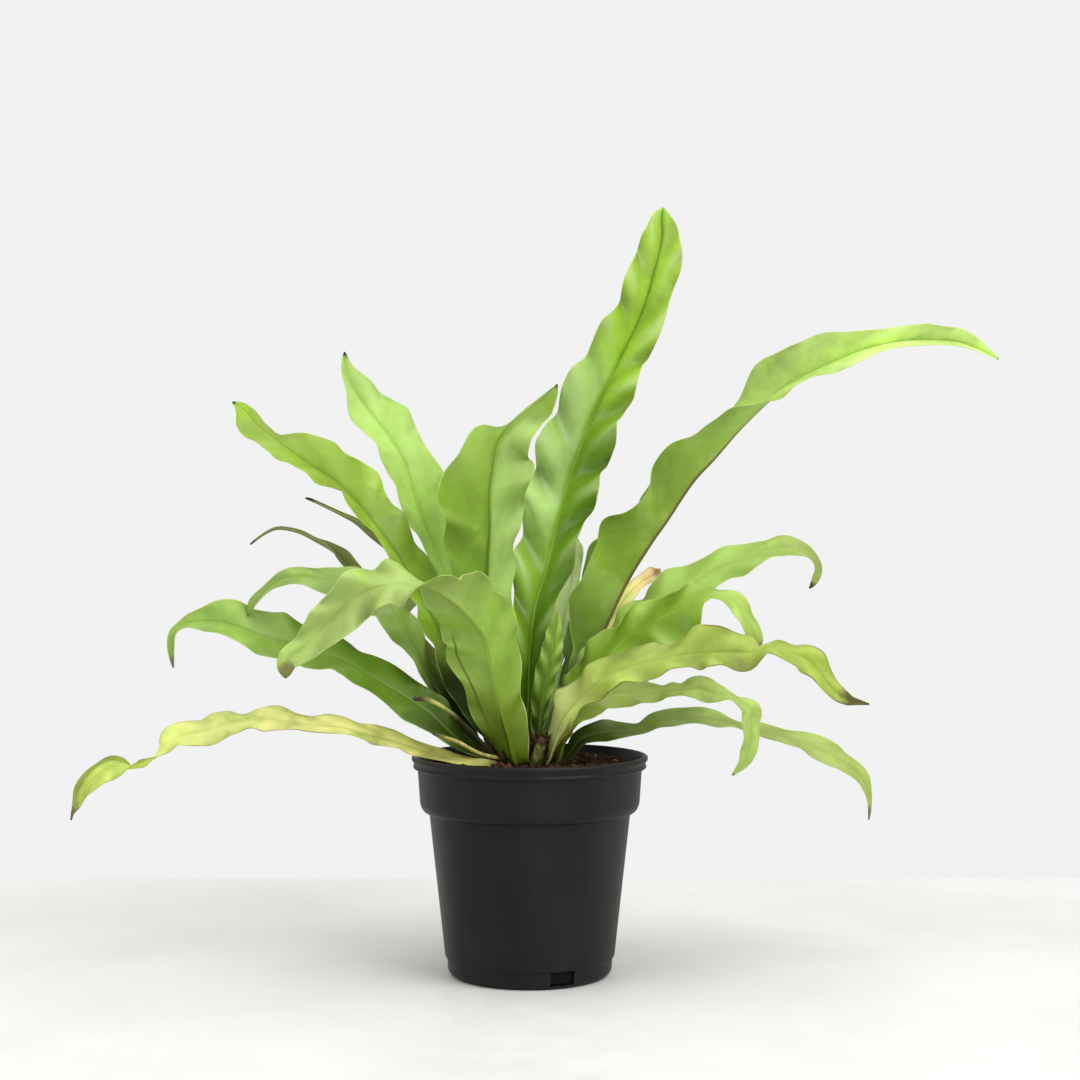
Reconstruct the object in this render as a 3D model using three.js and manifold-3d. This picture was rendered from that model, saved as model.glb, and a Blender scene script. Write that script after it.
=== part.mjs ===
// Potted fern: a wavy bird's-nest fern with strap fronds, in a round plastic nursery pot.
// Millimetres, +Z up. The origin is the middle of the pot's underside; -Y is the front.
import * as THREE from 'three';
import { mergeVertices } from 'three/addons/utils/BufferGeometryUtils.js';
import Module from 'manifold-3d';

const wasm = await Module();
wasm.setup();

// ---- driving dimensions -----------------------------------------------------------------
const CLEARANCE = 0.3;         // gap between pieces that rest on each other
const WELD = 0.1;              // corners left by a cut that are nearer than this become one

const RIM_RADIUS = 65;         // outside of the lip
const POT_HEIGHT = 120;
const WALL = 1.5;
const FLOOR = 2.0;             // thickness of the flat base
const POT_SIDES = 40;
const LIP_HEIGHT = 7;          // the band with a bead at its top and its bottom
const COLLAR_TOP_RADIUS = 61.7;
const COLLAR_BOTTOM_RADIUS = 60.4;
const COLLAR_BOTTOM = 94;      // where the upright collar starts to round in
const SHOULDER_BOTTOM = 88.5;  // where the rounded shoulder meets the tapered body
const BODY_TOP_RADIUS = 55.3;
const BODY_BOTTOM_RADIUS = 46.6;
const FOOT_RADIUS = 45;
const FOOT_HEIGHT = 9.4;
const FOOT_ROUNDING = 2.5;

const DRAIN_SLOTS = 3;
const DRAIN_WIDTH = 13.7;
const DRAIN_HEIGHT = 7.6;
const DRAIN_DEPTH = 8;
const FIRST_DRAIN_ANGLE = THREE.MathUtils.degToRad(-67);   // right of the front

const SOIL_EDGE = 115;         // level of the mix at the wall
const SOIL_MIDDLE = 116;       // and round the crown

const CROWN_CENTRE = new THREE.Vector3(-3, -1, 113);
const CROWN_RADIUS = 21;       // across, left to right
const CROWN_DEPTH_RATIO = 0.78;
const CROWN_HEIGHT = 14;       // above its centre
const CROWN_DEPTH = 24;        // below its centre, in the mix
const CROWN_SIDES = 20;

const ROOT_COUNT = 7;
const ROOT_RADIUS = 1.6;
const ROOT_REACH = 30;
const ROOT_DROP = 52;

const KEEL_AT_BASE = 2.4;      // thickness of a frond's midrib
const KEEL_AT_TIP = 0.8;
const SECTIONS_PER_WAVE = 4;
const MARGIN_LAG = 0.37;       // of a wave, between the two margins
const PHASE_STEP = 0.17;       // of a wave, between one frond and the next
const FLAT_AT_BASE = 0.18;     // part of its length in which the waves grow
const FLAT_AT_TIP = 0.08;      // and in which they fade
const BURIED_START = 0.45;     // a frond starts this far out from the crown's centre
const LEAST_HALF_WIDTH = 0.5;
const STEPS_PER_ROW = 40;      // used to measure along a route
const NEARBY = 0.001;          // of a row, to either side of a place, for its direction

// ---- fronds -----------------------------------------------------------------------------
// Each has the way it leans from above (degrees from +X), how many waves its margins have and
// how deep they are for its width, and its route. A row of the route is the midrib's x, y, z,
// the half width there, the roll and how far the two halves fold up (degrees).
const fronds = {
  frond_tall: { lean: 70, waves: 9, ruffle: 0.3, route: [
    [-2, 5, 126, 5, 0, 25], [-1, 10, 149, 8, 5, 40], [0, 18, 174, 11, 15, 50],
    [3, 26, 200, 16, 15, 38], [9, 33, 220, 19, 5, 32], [15, 39, 245, 22, 5, 30],
    [24, 45, 278, 24, 12, 32], [36, 51, 310, 24, 12, 35], [50, 55, 340, 22.5, 15, 40],
    [64, 59, 369, 19.5, 20, 42], [73, 63, 398, 16.5, 20, 32], [77, 66, 416, 12.5, 15, 30],
    [77, 67, 427, 7, 15, 30], [78, 68, 434, 1.5, 15, 30]] },
  frond_long_right: { lean: 15, waves: 9, ruffle: 0.12, route: [
    [9, 6, 129, 4, 15, 40], [24, 20, 152, 9, 0, 50], [34, 27, 171, 18, -15, 55],
    [44, 33, 194, 24, -20, 62], [55, 36, 216, 27, -20, 68], [68, 37, 237, 26, -20, 65],
    [77, 34, 250, 21.5, -20, 60], [92, 38, 272, 23.5, -20, 64], [105, 41, 286, 20.5, -18, 62],
    [118, 43, 301, 16, -12, 48], [129, 44, 312, 15, 5, 32], [138, 45, 320, 17, 27, 30],
    [148, 46, 328, 20, 42, 36], [163, 48, 336, 19.5, 52, 44], [180, 50, 344, 16, 64, 48],
    [196, 51, 350, 12, 70, 48], [215, 53, 354, 9, 72, 48], [232, 55, 355, 9.5, 72, 45],
    [248, 57, 354, 8, 74, 45], [260, 58, 350, 5, 75, 45], [273, 60, 344, 0.8, 75, 45]] },
  frond_upright_front: { lean: -95, waves: 7, ruffle: 0.12, route: [
    [-11, -6, 128, 6, 0, 20], [-14, -10, 150, 9, 5, 28], [-18, -16, 180, 14, 12, 28],
    [-23, -20, 205, 19, 17, 32], [-23, -23, 227, 22.5, 20, 35], [-22, -25, 245, 26, 22, 35],
    [-22, -26, 262, 27.5, 18, 30], [-20, -26, 278, 25, 8, 26], [-17, -24, 291, 20, 0, 28],
    [-11, -22, 299, 16, -14, 26], [-3, -18, 306, 12.5, -22, 28], [5, -15, 312, 9, -26, 25],
    [12, -13, 319, 4.5, -30, 20], [15, -12, 323, 0.8, -30, 20]] },
  frond_pale_left: { lean: 145, waves: 7, ruffle: 0.14, route: [
    [-16, 3, 128, 4, 0, 20], [-26, 13, 155, 7.5, -5, 12], [-38, 15, 189, 11, -8, 8],
    [-49, 21, 221, 13.5, -3, 12], [-57, 24, 240, 18, -10, 26], [-65, 27, 262, 18.5, -18, 24],
    [-71, 30, 282, 17.5, -20, 20], [-80, 32, 297, 17.5, -22, 20], [-91, 34, 311, 16, -24, 16],
    [-99, 36, 322, 12.5, -15, 20], [-104, 37, 332, 8, -8, 20], [-106, 38, 340, 3.5, -8, 20],
    [-106, 38, 346, 1.2, -8, 20]] },
  frond_arching_left: { lean: 200, waves: 8, ruffle: 0.12, route: [
    [-21, -3, 126, 5, -20, 12], [-31, -6, 148, 12.5, -62, 8], [-48, -4, 185, 14.5, -52, 8],
    [-66, -4, 220, 15, -53, 15], [-77, -4, 237, 17, -48, 20], [-90, -1, 253, 18.5, -50, 25],
    [-104, 3, 268, 19.5, -50, 25], [-121, 4, 280, 19, -50, 20], [-132, 5, 288, 15.5, -50, 10],
    [-141, 5, 295, 12, -46, -8], [-150, 6, 302, 11.5, -48, -18], [-156, 7, 309, 10, -46, -18],
    [-161, 7, 313, 5, -45, -5], [-165, 7, 315, 1, -45, 0]] },
  frond_thin_twisted: { lean: 170, waves: 6, ruffle: 0.12, route: [
    [-20, 6, 125, 3, 0, 20], [-31, 11, 152, 5, -10, 25], [-47, 16, 184, 5.5, -20, 40],
    [-63, 20, 212, 4.5, -20, 50], [-78, 23, 231, 4.5, -20, 55], [-90, 24, 241, 3.2, -20, 60],
    [-98, 24, 248, 3, -15, 50], [-107, 23, 253, 1.6, -20, 55], [-119, 21, 259, 1.2, -20, 50],
    [-126, 19, 262, 1.4, -20, 45]] },
  frond_curled_left: { lean: 165, waves: 6, ruffle: 0.15, route: [
    [-19, 10, 122, 3, 0, 18], [-33, 21, 146, 6, -20, 12], [-55, 29, 170, 6.5, -25, 10],
    [-80, 33, 199, 7, -25, 12], [-98, 34, 218, 6.5, -22, 12], [-107, 34, 228, 6, -20, 15],
    [-114, 34, 234, 4.5, -15, 35], [-122, 34, 238, 2.4, -15, 50], [-132, 33, 243, 1.7, -15, 45],
    [-143, 32, 245, 1.5, -20, 40], [-151, 32, 242, 1.2, -25, 40], [-159, 31, 236, 0.8, -25, 40]] },
  frond_bent_left: { lean: 185, waves: 7, ruffle: 0.15, route: [
    [-25, -4, 123, 3.5, -10, 18], [-40, -6, 140, 8, -55, 12], [-52, -10, 159, 6, -44, 12],
    [-61, -20, 178, 8.5, -40, 8], [-69, -28, 195, 13, -42, -2], [-76, -29, 206, 14, -45, -10],
    [-85, -31, 213, 13.5, -47, -10], [-100, -33, 216, 11.5, -45, -8], [-111, -35, 218, 9, -44, -2],
    [-121, -35, 219, 7, -45, 0], [-130, -36, 218, 5.5, -42, 5], [-136, -36, 215, 4.3, -35, 10],
    [-142, -37, 210, 4.5, -35, 10], [-147, -38, 204, 3.6, -40, 10], [-149, -38, 198, 0.8, -45, 12]] },
  frond_folded_front: { lean: -125, waves: 9, ruffle: 0.14, route: [
    [-8, -18, 118, 8, 0, 16], [-12, -22, 131, 12.5, 25, 18], [-15, -26, 141, 14.5, 40, 22],
    [-18, -32, 156, 17.5, 45, 28], [-20, -38, 169, 21, 48, 30], [-22, -43, 180, 23.5, 50, 30],
    [-25, -49, 190, 23, 46, 32], [-33, -56, 200, 21, 38, 30], [-40, -62, 207, 18.5, 28, 25],
    [-47, -67, 212, 17.5, 12, 18], [-54, -74, 216, 17, -10, 12], [-66, -79, 216, 15, -25, 10],
    [-76, -82, 214, 14, -38, 10], [-85, -84, 210, 13, -46, 12], [-94, -85, 203, 12, -48, 15],
    [-102, -86, 194, 10.5, -40, 12], [-110, -86, 187, 8.5, -35, 10], [-117, -87, 181, 7, -35, 8],
    [-122, -87, 176, 5.5, -25, 5], [-123, -87, 168, 2.5, -20, 5]] },
  frond_low_left: { lean: 192, waves: 7, ruffle: 0.08, route: [
    [-26, -11, 120, 3.5, -20, 14], [-39, -20, 131, 8, -42, 5], [-53, -25, 145, 13, -52, 3],
    [-66, -26, 154, 14, -50, 3], [-84, -30, 165, 14, -40, 5], [-101, -31, 175, 14.5, -36, 5],
    [-118, -34, 180, 15.5, -42, 9], [-133, -37, 184, 16.5, -45, 15],
    [-147, -40, 189, 15.5, -45, 15], [-161, -43, 194, 13.5, -45, 16],
    [-170, -45, 195, 10, -45, 18], [-178, -47, 195, 6.5, -40, 15], [-183, -48, 193, 3.8, -32, 10],
    [-187, -49, 189, 3, -38, 10], [-188, -49, 181, 2.5, -45, 10], [-187, -49, 171, 0.8, -45, 10]] },
  frond_yellow_left: { lean: 186, waves: 9, ruffle: 0.2, route: [
    [-23, -17, 117, 3, -30, 12], [-42, -19, 120, 4, -42, 6], [-59, -20, 125, 5, -48, 6],
    [-79, -23, 132, 6.3, -42, 6], [-102, -27, 138, 6.5, -40, 10], [-121, -31, 140, 6.3, -42, 8],
    [-138, -34, 143, 8, -44, 0], [-149, -36, 143, 8, -36, -5], [-159, -38, 141, 8.5, -42, -4],
    [-173, -41, 137, 9.5, -46, 4], [-187, -43, 134, 8.5, -40, 0], [-193, -45, 128, 6.5, -20, 0],
    [-198, -46, 124, 5, 0, 0], [-204, -47, 120, 5, 22, 2], [-209, -48, 119, 5, 12, 5],
    [-214, -49, 119, 6.5, -35, 8], [-221, -51, 118, 8, -50, 10], [-228, -53, 112, 7, -50, 8],
    [-233, -54, 107, 5.5, -50, 10], [-236, -55, 100, 3.6, -46, 12], [-238, -55, 96, 1.5, -45, 14],
    [-239, -56, 92, 0.6, -45, 15]] },
  frond_upper_right: { lean: 8, waves: 7, ruffle: 0.16, route: [
    [15, 1, 125, 4, 35, 14], [26, 3, 150, 10, 36, 6], [40, 7, 172, 14, 40, 0],
    [56, 11, 189, 17, 38, -8], [73, 15, 203, 18.5, 36, -8], [90, 19, 214, 17, 36, 0],
    [102, 21, 221, 14, 38, 0], [116, 23, 227, 12, 38, 3], [130, 25, 232, 9, 40, 2],
    [143, 26, 235, 8, 40, 5], [154, 27, 233, 6, 42, 2], [161, 27, 228, 5, 46, 2],
    [163, 27, 222, 4, 50, 5], [161, 27, 216, 3.5, 50, 6], [158, 27, 211, 1.5, 50, 10]] },
  frond_broad_right: { lean: -18, waves: 7, ruffle: 0.14, route: [
    [12, -5, 124, 4, 40, 15], [20, -9, 144, 9, 50, 10], [31, -11, 164, 14, 50, 5],
    [45, -14, 180, 17, 42, 0], [64, -19, 193, 20, 45, -5], [76, -22, 199, 22, 50, -14],
    [87, -25, 205, 17, 45, -13], [95, -28, 209, 10, 28, -5], [102, -31, 209, 6.5, 22, 0],
    [109, -33, 206, 6.5, 34, 5], [114, -36, 199, 6.5, 35, 5], [118, -38, 191, 6, 35, 5],
    [120, -39, 184, 4.8, 35, 5], [121, -39, 179, 2, 35, 8]] },
  frond_yellow_right: { lean: -35, waves: 8, ruffle: 0.18, route: [
    [10, -13, 119, 6.5, 45, 12], [17, -29, 141, 12, 62, 10], [27, -38, 154, 13, 60, 10],
    [42, -46, 167, 13, 52, 8], [58, -51, 173, 13, 50, 2], [73, -56, 177, 13, 38, 3],
    [89, -60, 179, 15, 45, 18], [99, -63, 180, 15, 48, 18], [109, -66, 180, 13, 45, 4],
    [115, -68, 180, 11, 42, -3], [119, -69, 181, 8, 32, 0], [122, -69, 182, 6, 20, 0],
    [128, -70, 182, 6.5, 34, 4], [135, -71, 180, 7.5, 35, 3], [142, -72, 177, 8.5, 35, 9],
    [148, -73, 171, 7.5, 32, 10], [153, -74, 164, 6, 32, 10], [158, -74, 159, 4.5, 36, 10],
    [163, -75, 156, 3.5, 40, 10], [168, -75, 155, 2, 40, 10], [174, -75, 154, 0.8, 40, 10]] },
  frond_hooked_right: { lean: -30, waves: 8, ruffle: 0.2, route: [
    [15, -11, 118, 4, 40, 12], [19, -22, 138, 8, 66, 8], [28, -29, 148, 9, 68, 6],
    [38, -30, 154, 10, 64, 5], [54, -29, 157, 8.5, 52, 0], [68, -30, 157, 7.5, 45, -4],
    [74, -31, 158, 6, 30, 0], [80, -32, 158, 5.5, 30, 0], [86, -33, 159, 7.5, 50, 5],
    [91, -34, 159, 8, 54, 5], [97, -36, 157, 7, 40, 0], [102, -38, 156, 6, 28, 0],
    [107, -40, 155, 4.5, 16, 0], [113, -42, 152, 5, 26, 2], [117, -43, 148, 5.5, 35, 5],
    [117, -44, 141, 5.5, 40, 5], [117, -45, 134, 5, 40, 6], [115, -45, 127, 4.5, 40, 10],
    [113, -45, 121, 3.5, 40, 10], [107, -45, 114, 0.8, 40, 10]] },
  frond_low_right: { lean: 5, waves: 7, ruffle: 0.14, route: [
    [20, -3, 119, 4, 35, 12], [28, -2, 129, 6, 43, 10], [39, 0, 132, 7, 45, 10],
    [50, 3, 133, 7, 36, 6], [61, 6, 134, 6, 32, 5], [70, 8, 138, 6, 35, 4],
    [81, 10, 140, 7, 40, 1], [92, 12, 141, 7, 40, 0], [103, 14, 139, 6.5, 35, 0],
    [113, 16, 136, 5.5, 26, 0], [122, 17, 133, 5, 27, 0], [130, 18, 132, 5.5, 35, 0],
    [142, 19, 129, 6, 40, 0], [154, 21, 125, 7, 45, 0], [163, 22, 121, 8, 50, 0],
    [175, 24, 115, 7.3, 54, 0], [185, 26, 107, 6, 50, 5], [190, 27, 99, 4, 50, 10],
    [192, 28, 90, 2.5, 45, 10], [192, 29, 80, 0.8, 45, 10]] },
  frond_young_crinkled: { lean: -60, waves: 6, ruffle: 0.3, route: [
    [4, -5, 127, 3, 0, 30], [6, -7, 144, 6, -18, 40], [8, -9, 159, 8, -26, 44],
    [12, -11, 174, 8, -25, 44], [14, -12, 188, 6, -24, 42], [15, -12, 199, 1.5, -24, 40]] },
  frond_young_back: { lean: 85, waves: 4, ruffle: 0.15, route: [
    [6, 10, 126, 3, 0, 20], [11, 31, 154, 5, -20, 12], [18, 52, 186, 7, -30, 6],
    [23, 59, 210, 7, -35, 4], [25, 62, 225, 7.5, -35, 5], [26, 63, 235, 6, -30, 10],
    [27, 63, 240, 2.5, -28, 12]] },
  frond_withered: { lean: 40, waves: 5, ruffle: 0.3, route: [
    [14, 8, 122, 3, 0, 25], [27, 27, 154, 4, 35, 35], [38, 41, 179, 5, 46, 40],
    [48, 43, 196, 5, 50, 44], [57, 47, 208, 6, 55, 42], [65, 49, 215, 5, 58, 44],
    [72, 50, 219, 6, 60, 40], [75, 50, 222, 2, 58, 40]] },
  frond_back_arching: { lean: 88, waves: 7, ruffle: 0.14, route: [
    [0, 13, 124, 4, 0, 18], [0, 32, 148, 8, 0, 18], [3, 58, 174, 13, 0, 18],
    [9, 88, 200, 17, 0, 18], [11, 125, 217, 15, 0, 18], [13, 160, 222, 11, 0, 18],
    [13, 190, 218, 6, 0, 18], [14, 205, 212, 0.8, 0, 18]] },
  frond_back_right: { lean: 50, waves: 7, ruffle: 0.14, route: [
    [8, 13, 120, 3, 0, 18], [19, 30, 141, 7, 10, 18], [33, 49, 168, 12, 15, 18],
    [51, 72, 187, 15, 20, 18], [70, 94, 192, 13, 20, 18], [89, 112, 186, 9, 15, 18],
    [101, 125, 176, 5, 10, 18], [107, 131, 168, 0.8, 0, 18]] },
  frond_back_left: { lean: 125, waves: 7, ruffle: 0.14, route: [
    [-11, 11, 123, 4, 0, 18], [-21, 25, 145, 8, 0, 18], [-32, 44, 171, 13, 0, 18],
    [-44, 68, 193, 15, 0, 18], [-57, 94, 204, 13, 0, 18], [-68, 116, 203, 9, 0, 18],
    [-76, 130, 196, 5, 0, 18], [-80, 136, 188, 0.8, 0, 18]] },
  frond_back_low: { lean: 68, waves: 6, ruffle: 0.14, route: [
    [1, 16, 118, 3, 0, 18], [8, 38, 129, 8, 0, 18], [15, 62, 143, 11, 0, 18],
    [24, 90, 156, 12, 0, 18], [33, 120, 160, 9, 0, 18], [39, 144, 157, 5, 0, 18],
    [44, 158, 152, 0.8, 0, 18]] },
  dry_stalk_long: { lean: 195, waves: 0, ruffle: 0, route: [
    [-20, -14, 122, 2, 0, 0], [-33, -26, 137, 2, 0, 0], [-43, -34, 147, 2, 0, 0], [-53, -38, 153, 2, 0, 0],
    [-61, -40, 154, 1.2, 0, 0]] },
  dry_stalk_thin: { lean: 200, waves: 0, ruffle: 0, route: [
    [-17, -19, 120, 1.5, 0, 0], [-27, -31, 124, 1.5, 0, 0], [-38, -39, 131, 1.5, 0, 0],
    [-50, -46, 136, 1, 0, 0]] },
  old_stub_front: { lean: -70, waves: 0, ruffle: 0, route: [
    [3, -15, 117, 3, 0, 0], [5, -21, 124, 3.5, 0, 0], [7, -25, 131, 2.5, 0, 0]] },
};

const colours = {
  pot: 0x262626, potting_mix: 0x35190f, rhizome: 0x4a3119,
  frond_yellow_left: 0xc4cf4c, frond_yellow_right: 0xa6b848, frond_withered: 0xb9a04e,
  frond_pale_left: 0xa4cf5c, frond_thin_twisted: 0x6f8a3a, frond_curled_left: 0x74913a,
  dry_stalk_long: 0x5a4426, dry_stalk_thin: 0x6b5a30, old_stub_front: 0x4f3a20,
};
const FROND_COLOUR = 0x86b83c;

// ---- helpers ----------------------------------------------------------------------------
function toSolid(geometry) {
  const bare = geometry.clone();
  bare.deleteAttribute('normal');
  bare.deleteAttribute('uv');
  const merged = mergeVertices(bare, 1e-4);
  return new wasm.Manifold(new wasm.Mesh({
    numProp: 3,
    vertProperties: new Float32Array(merged.attributes.position.array),
    triVerts: new Uint32Array(merged.index.array),
  }));
}

function toGeometry(solid) {
  const mesh = solid.getMesh();
  const geometry = new THREE.BufferGeometry();
  geometry.setAttribute('position', new THREE.BufferAttribute(new Float32Array(mesh.vertProperties), 3));
  geometry.setIndex(weldedFaces(geometry.attributes.position, mesh.triVerts));
  geometry.computeVertexNormals();
  return geometry;
}

// The faces once corners nearer than WELD have become one, without the slivers between them.
function weldedFaces(positions, corners) {
  const points = [];
  for (let i = 0; i < positions.count; i += 1) {
    points.push(new THREE.Vector3().fromBufferAttribute(positions, i));
  }
  const kept = points.map((point, i) => points.findIndex((other, j) => j <= i
    && other.distanceTo(point) < WELD));
  const first = (i) => (kept[i] === i ? i : first(kept[i]));
  const faces = [];
  for (let k = 0; k < corners.length; k += 3) {
    const [a, b, c] = [first(corners[k]), first(corners[k + 1]), first(corners[k + 2])];
    if (a !== b && b !== c && c !== a) faces.push(a, b, c);
  }
  return faces;
}

function latheUpright(profile, sides) {
  const points = profile.map(([radius, height]) => new THREE.Vector2(radius, height));
  return new THREE.LatheGeometry(points, sides).rotateX(Math.PI / 2);
}

// The row of numbers at place t of a smooth curve through the rows (t counts the rows).
function rowAt(rows, t) {
  const last = rows.length - 1;
  const i = Math.min(Math.floor(t), last - 1);
  const w = t - i;
  return rows[i].map((b, k) => {
    const c = rows[i + 1][k];
    const a = i > 0 ? rows[i - 1][k] : 2 * b - c;
    const d = i + 2 <= last ? rows[i + 2][k] : 2 * c - b;
    const slopeIn = (c - a) / 2;
    const slopeOut = (d - b) / 2;
    return (2 * b - 2 * c + slopeIn + slopeOut) * w ** 3
      + (3 * c - 3 * b - 2 * slopeIn - slopeOut) * w ** 2 + slopeIn * w + b;
  });
}

// ---- pot --------------------------------------------------------------------------------
function makePot() {
  const lipBottom = POT_HEIGHT - LIP_HEIGHT;
  const outside = [
    [0, 0],
    [FOOT_RADIUS - FOOT_ROUNDING, 0],
    [FOOT_RADIUS - 0.3 * FOOT_ROUNDING, 0.3 * FOOT_ROUNDING],
    [FOOT_RADIUS, FOOT_ROUNDING],
    [FOOT_RADIUS + 0.4, FOOT_HEIGHT],
    [BODY_BOTTOM_RADIUS, FOOT_HEIGHT + 0.8],
    [BODY_TOP_RADIUS, SHOULDER_BOTTOM],
    [BODY_TOP_RADIUS + 2.4, SHOULDER_BOTTOM + 0.8],
    [COLLAR_BOTTOM_RADIUS - 1, SHOULDER_BOTTOM + 2.6],
    [COLLAR_BOTTOM_RADIUS, COLLAR_BOTTOM],
    [COLLAR_TOP_RADIUS, lipBottom],
    [RIM_RADIUS - 1.1, lipBottom + 0.3],
    [RIM_RADIUS - 0.7, lipBottom + 1.3],
    [RIM_RADIUS - 1.4, lipBottom + 2.2],
    [RIM_RADIUS - 0.9, POT_HEIGHT - 3.2],
    [RIM_RADIUS, POT_HEIGHT - 2.2],
    [RIM_RADIUS, POT_HEIGHT - 0.8],
    [RIM_RADIUS - 0.8, POT_HEIGHT],
  ];
  const inside = [
    [RIM_RADIUS - 2.6, POT_HEIGHT],
    ...insideProfile(0),
  ];
  let solid = toSolid(latheUpright([...outside, ...inside], POT_SIDES));
  for (let slot = 0; slot < DRAIN_SLOTS; slot += 1) {
    const cutter = new THREE.BoxGeometry(DRAIN_DEPTH, DRAIN_WIDTH, DRAIN_HEIGHT);
    cutter.translate(FOOT_RADIUS, 0, FLOOR + DRAIN_HEIGHT / 2);
    cutter.rotateZ(FIRST_DRAIN_ANGLE + slot * 2 * Math.PI / DRAIN_SLOTS);
    solid = solid.subtract(toSolid(cutter));
  }
  return toGeometry(solid);
}

// The inside of the pot from lip to floor, drawn in by a gap all over.
function insideProfile(gap) {
  const inset = WALL + gap;
  return [
    [COLLAR_TOP_RADIUS - inset, POT_HEIGHT - LIP_HEIGHT],
    [COLLAR_BOTTOM_RADIUS - inset, COLLAR_BOTTOM],
    [COLLAR_BOTTOM_RADIUS - 1 - inset, SHOULDER_BOTTOM + 4],
    [BODY_TOP_RADIUS - inset, SHOULDER_BOTTOM + 1.5],
    [BODY_BOTTOM_RADIUS - inset, FOOT_HEIGHT + 1.2],
    [FOOT_RADIUS - inset, FOOT_HEIGHT],
    [FOOT_RADIUS - inset, FLOOR + 1 + gap],
    [FOOT_RADIUS - 1 - inset, FLOOR + gap],
    [0, FLOOR + gap],
  ];
}

// ---- crown and roots --------------------------------------------------------------------
function crownBody(grow) {
  const steps = 5;
  const profile = [[0, -CROWN_DEPTH - grow], [CROWN_RADIUS / 2 + grow, -CROWN_DEPTH / 2]];
  for (let i = 0; i <= steps; i += 1) {
    const angle = i / steps * Math.PI / 2;
    const radius = i === steps ? 0 : (CROWN_RADIUS + grow) * Math.cos(angle);
    profile.push([radius, (CROWN_HEIGHT + grow) * Math.sin(angle)]);
  }
  const geometry = latheUpright(profile, CROWN_SIDES);
  geometry.scale(1, CROWN_DEPTH_RATIO, 1);
  geometry.translate(CROWN_CENTRE.x, CROWN_CENTRE.y, CROWN_CENTRE.z);
  return toSolid(geometry);
}

function rootStrand(index, grow) {
  const angle = (index + 0.5) * 2 * Math.PI / ROOT_COUNT;
  const outwards = (reach, drop) => new THREE.Vector3(
    CROWN_CENTRE.x + reach * Math.cos(angle), CROWN_CENTRE.y + reach * Math.sin(angle),
    CROWN_CENTRE.z - drop);
  const drop = ROOT_DROP * (0.8 + 0.4 * (index % 2));
  const path = new THREE.CatmullRomCurve3([
    outwards(3, 9), outwards(ROOT_REACH * 0.55, 15), outwards(ROOT_REACH * 0.9, drop * 0.55),
    outwards(ROOT_REACH * 0.8, drop + 2 * grow),
  ]);
  const section = new THREE.Shape();
  section.absarc(0, 0, ROOT_RADIUS + 2 * grow, 0, 2 * Math.PI);
  const geometry = new THREE.ExtrudeGeometry(section, {
    steps: 6, curveSegments: 5, extrudePath: path, bevelEnabled: false });
  return toSolid(geometry);
}

function crownWithRoots(grow) {
  let solid = crownBody(grow);
  for (let index = 0; index < ROOT_COUNT; index += 1) solid = solid.add(rootStrand(index, grow));
  return solid;
}

// The mix as it fills the pot, with its surface raised by a gap.
function mixBody(gap) {
  const edge = COLLAR_TOP_RADIUS - WALL - CLEARANCE - 0.1;
  const profile = [
    [0, SOIL_MIDDLE + gap],
    [CROWN_RADIUS + 8, SOIL_MIDDLE - 0.5 + gap],
    [edge, SOIL_EDGE + gap],
    ...insideProfile(CLEARANCE).slice(1),
  ].reverse();
  return toSolid(latheUpright(profile, POT_SIDES));
}

// ---- a frond ----------------------------------------------------------------------------
// Evenly spaced sections along the route: the place, the way along it, across it and up.
function sectionsOf(frond, count) {
  const start = frond.route[0];
  const buried = CROWN_CENTRE.toArray().map((c, k) => c + BURIED_START * (start[k] - c));
  const rows = [[...buried, ...start.slice(3)], ...frond.route];
  const spans = rows.length - 1;
  const travelled = [0];
  let before = new THREE.Vector3(...rows[0]);
  for (let i = 1; i <= spans * STEPS_PER_ROW; i += 1) {
    const here = new THREE.Vector3(...rowAt(rows, i / STEPS_PER_ROW));
    travelled.push(travelled[i - 1] + here.distanceTo(before));
    before = here;
  }
  const total = travelled[travelled.length - 1];
  const lean = THREE.MathUtils.degToRad(frond.lean);
  const flatAcross = new THREE.Vector3(-Math.sin(lean), Math.cos(lean), 0);
  const sections = [];
  let j = 0;
  for (let k = 0; k <= count; k += 1) {
    const goal = total * k / count;
    while (j < travelled.length - 2 && travelled[j + 1] < goal) j += 1;
    const part = (goal - travelled[j]) / (travelled[j + 1] - travelled[j]);
    const t = Math.min((j + part) / STEPS_PER_ROW, spans);
    const row = rowAt(rows, t);
    const ahead = new THREE.Vector3(...rowAt(rows, Math.min(t + NEARBY, spans)));
    const behind = new THREE.Vector3(...rowAt(rows, Math.max(t - NEARBY, 0)));
    const along = ahead.sub(behind).normalize();
    const across = flatAcross.clone().addScaledVector(along, -flatAcross.dot(along)).normalize();
    across.applyAxisAngle(along, THREE.MathUtils.degToRad(row[4]));
    const up = along.clone().cross(across);
    const half = Math.max(row[3], LEAST_HALF_WIDTH);
    const fold = THREE.MathUtils.degToRad(row[5]);
    sections.push({ u: k / count, at: new THREE.Vector3(...row), half, fold, across, up });
  }
  return sections;
}

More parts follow.
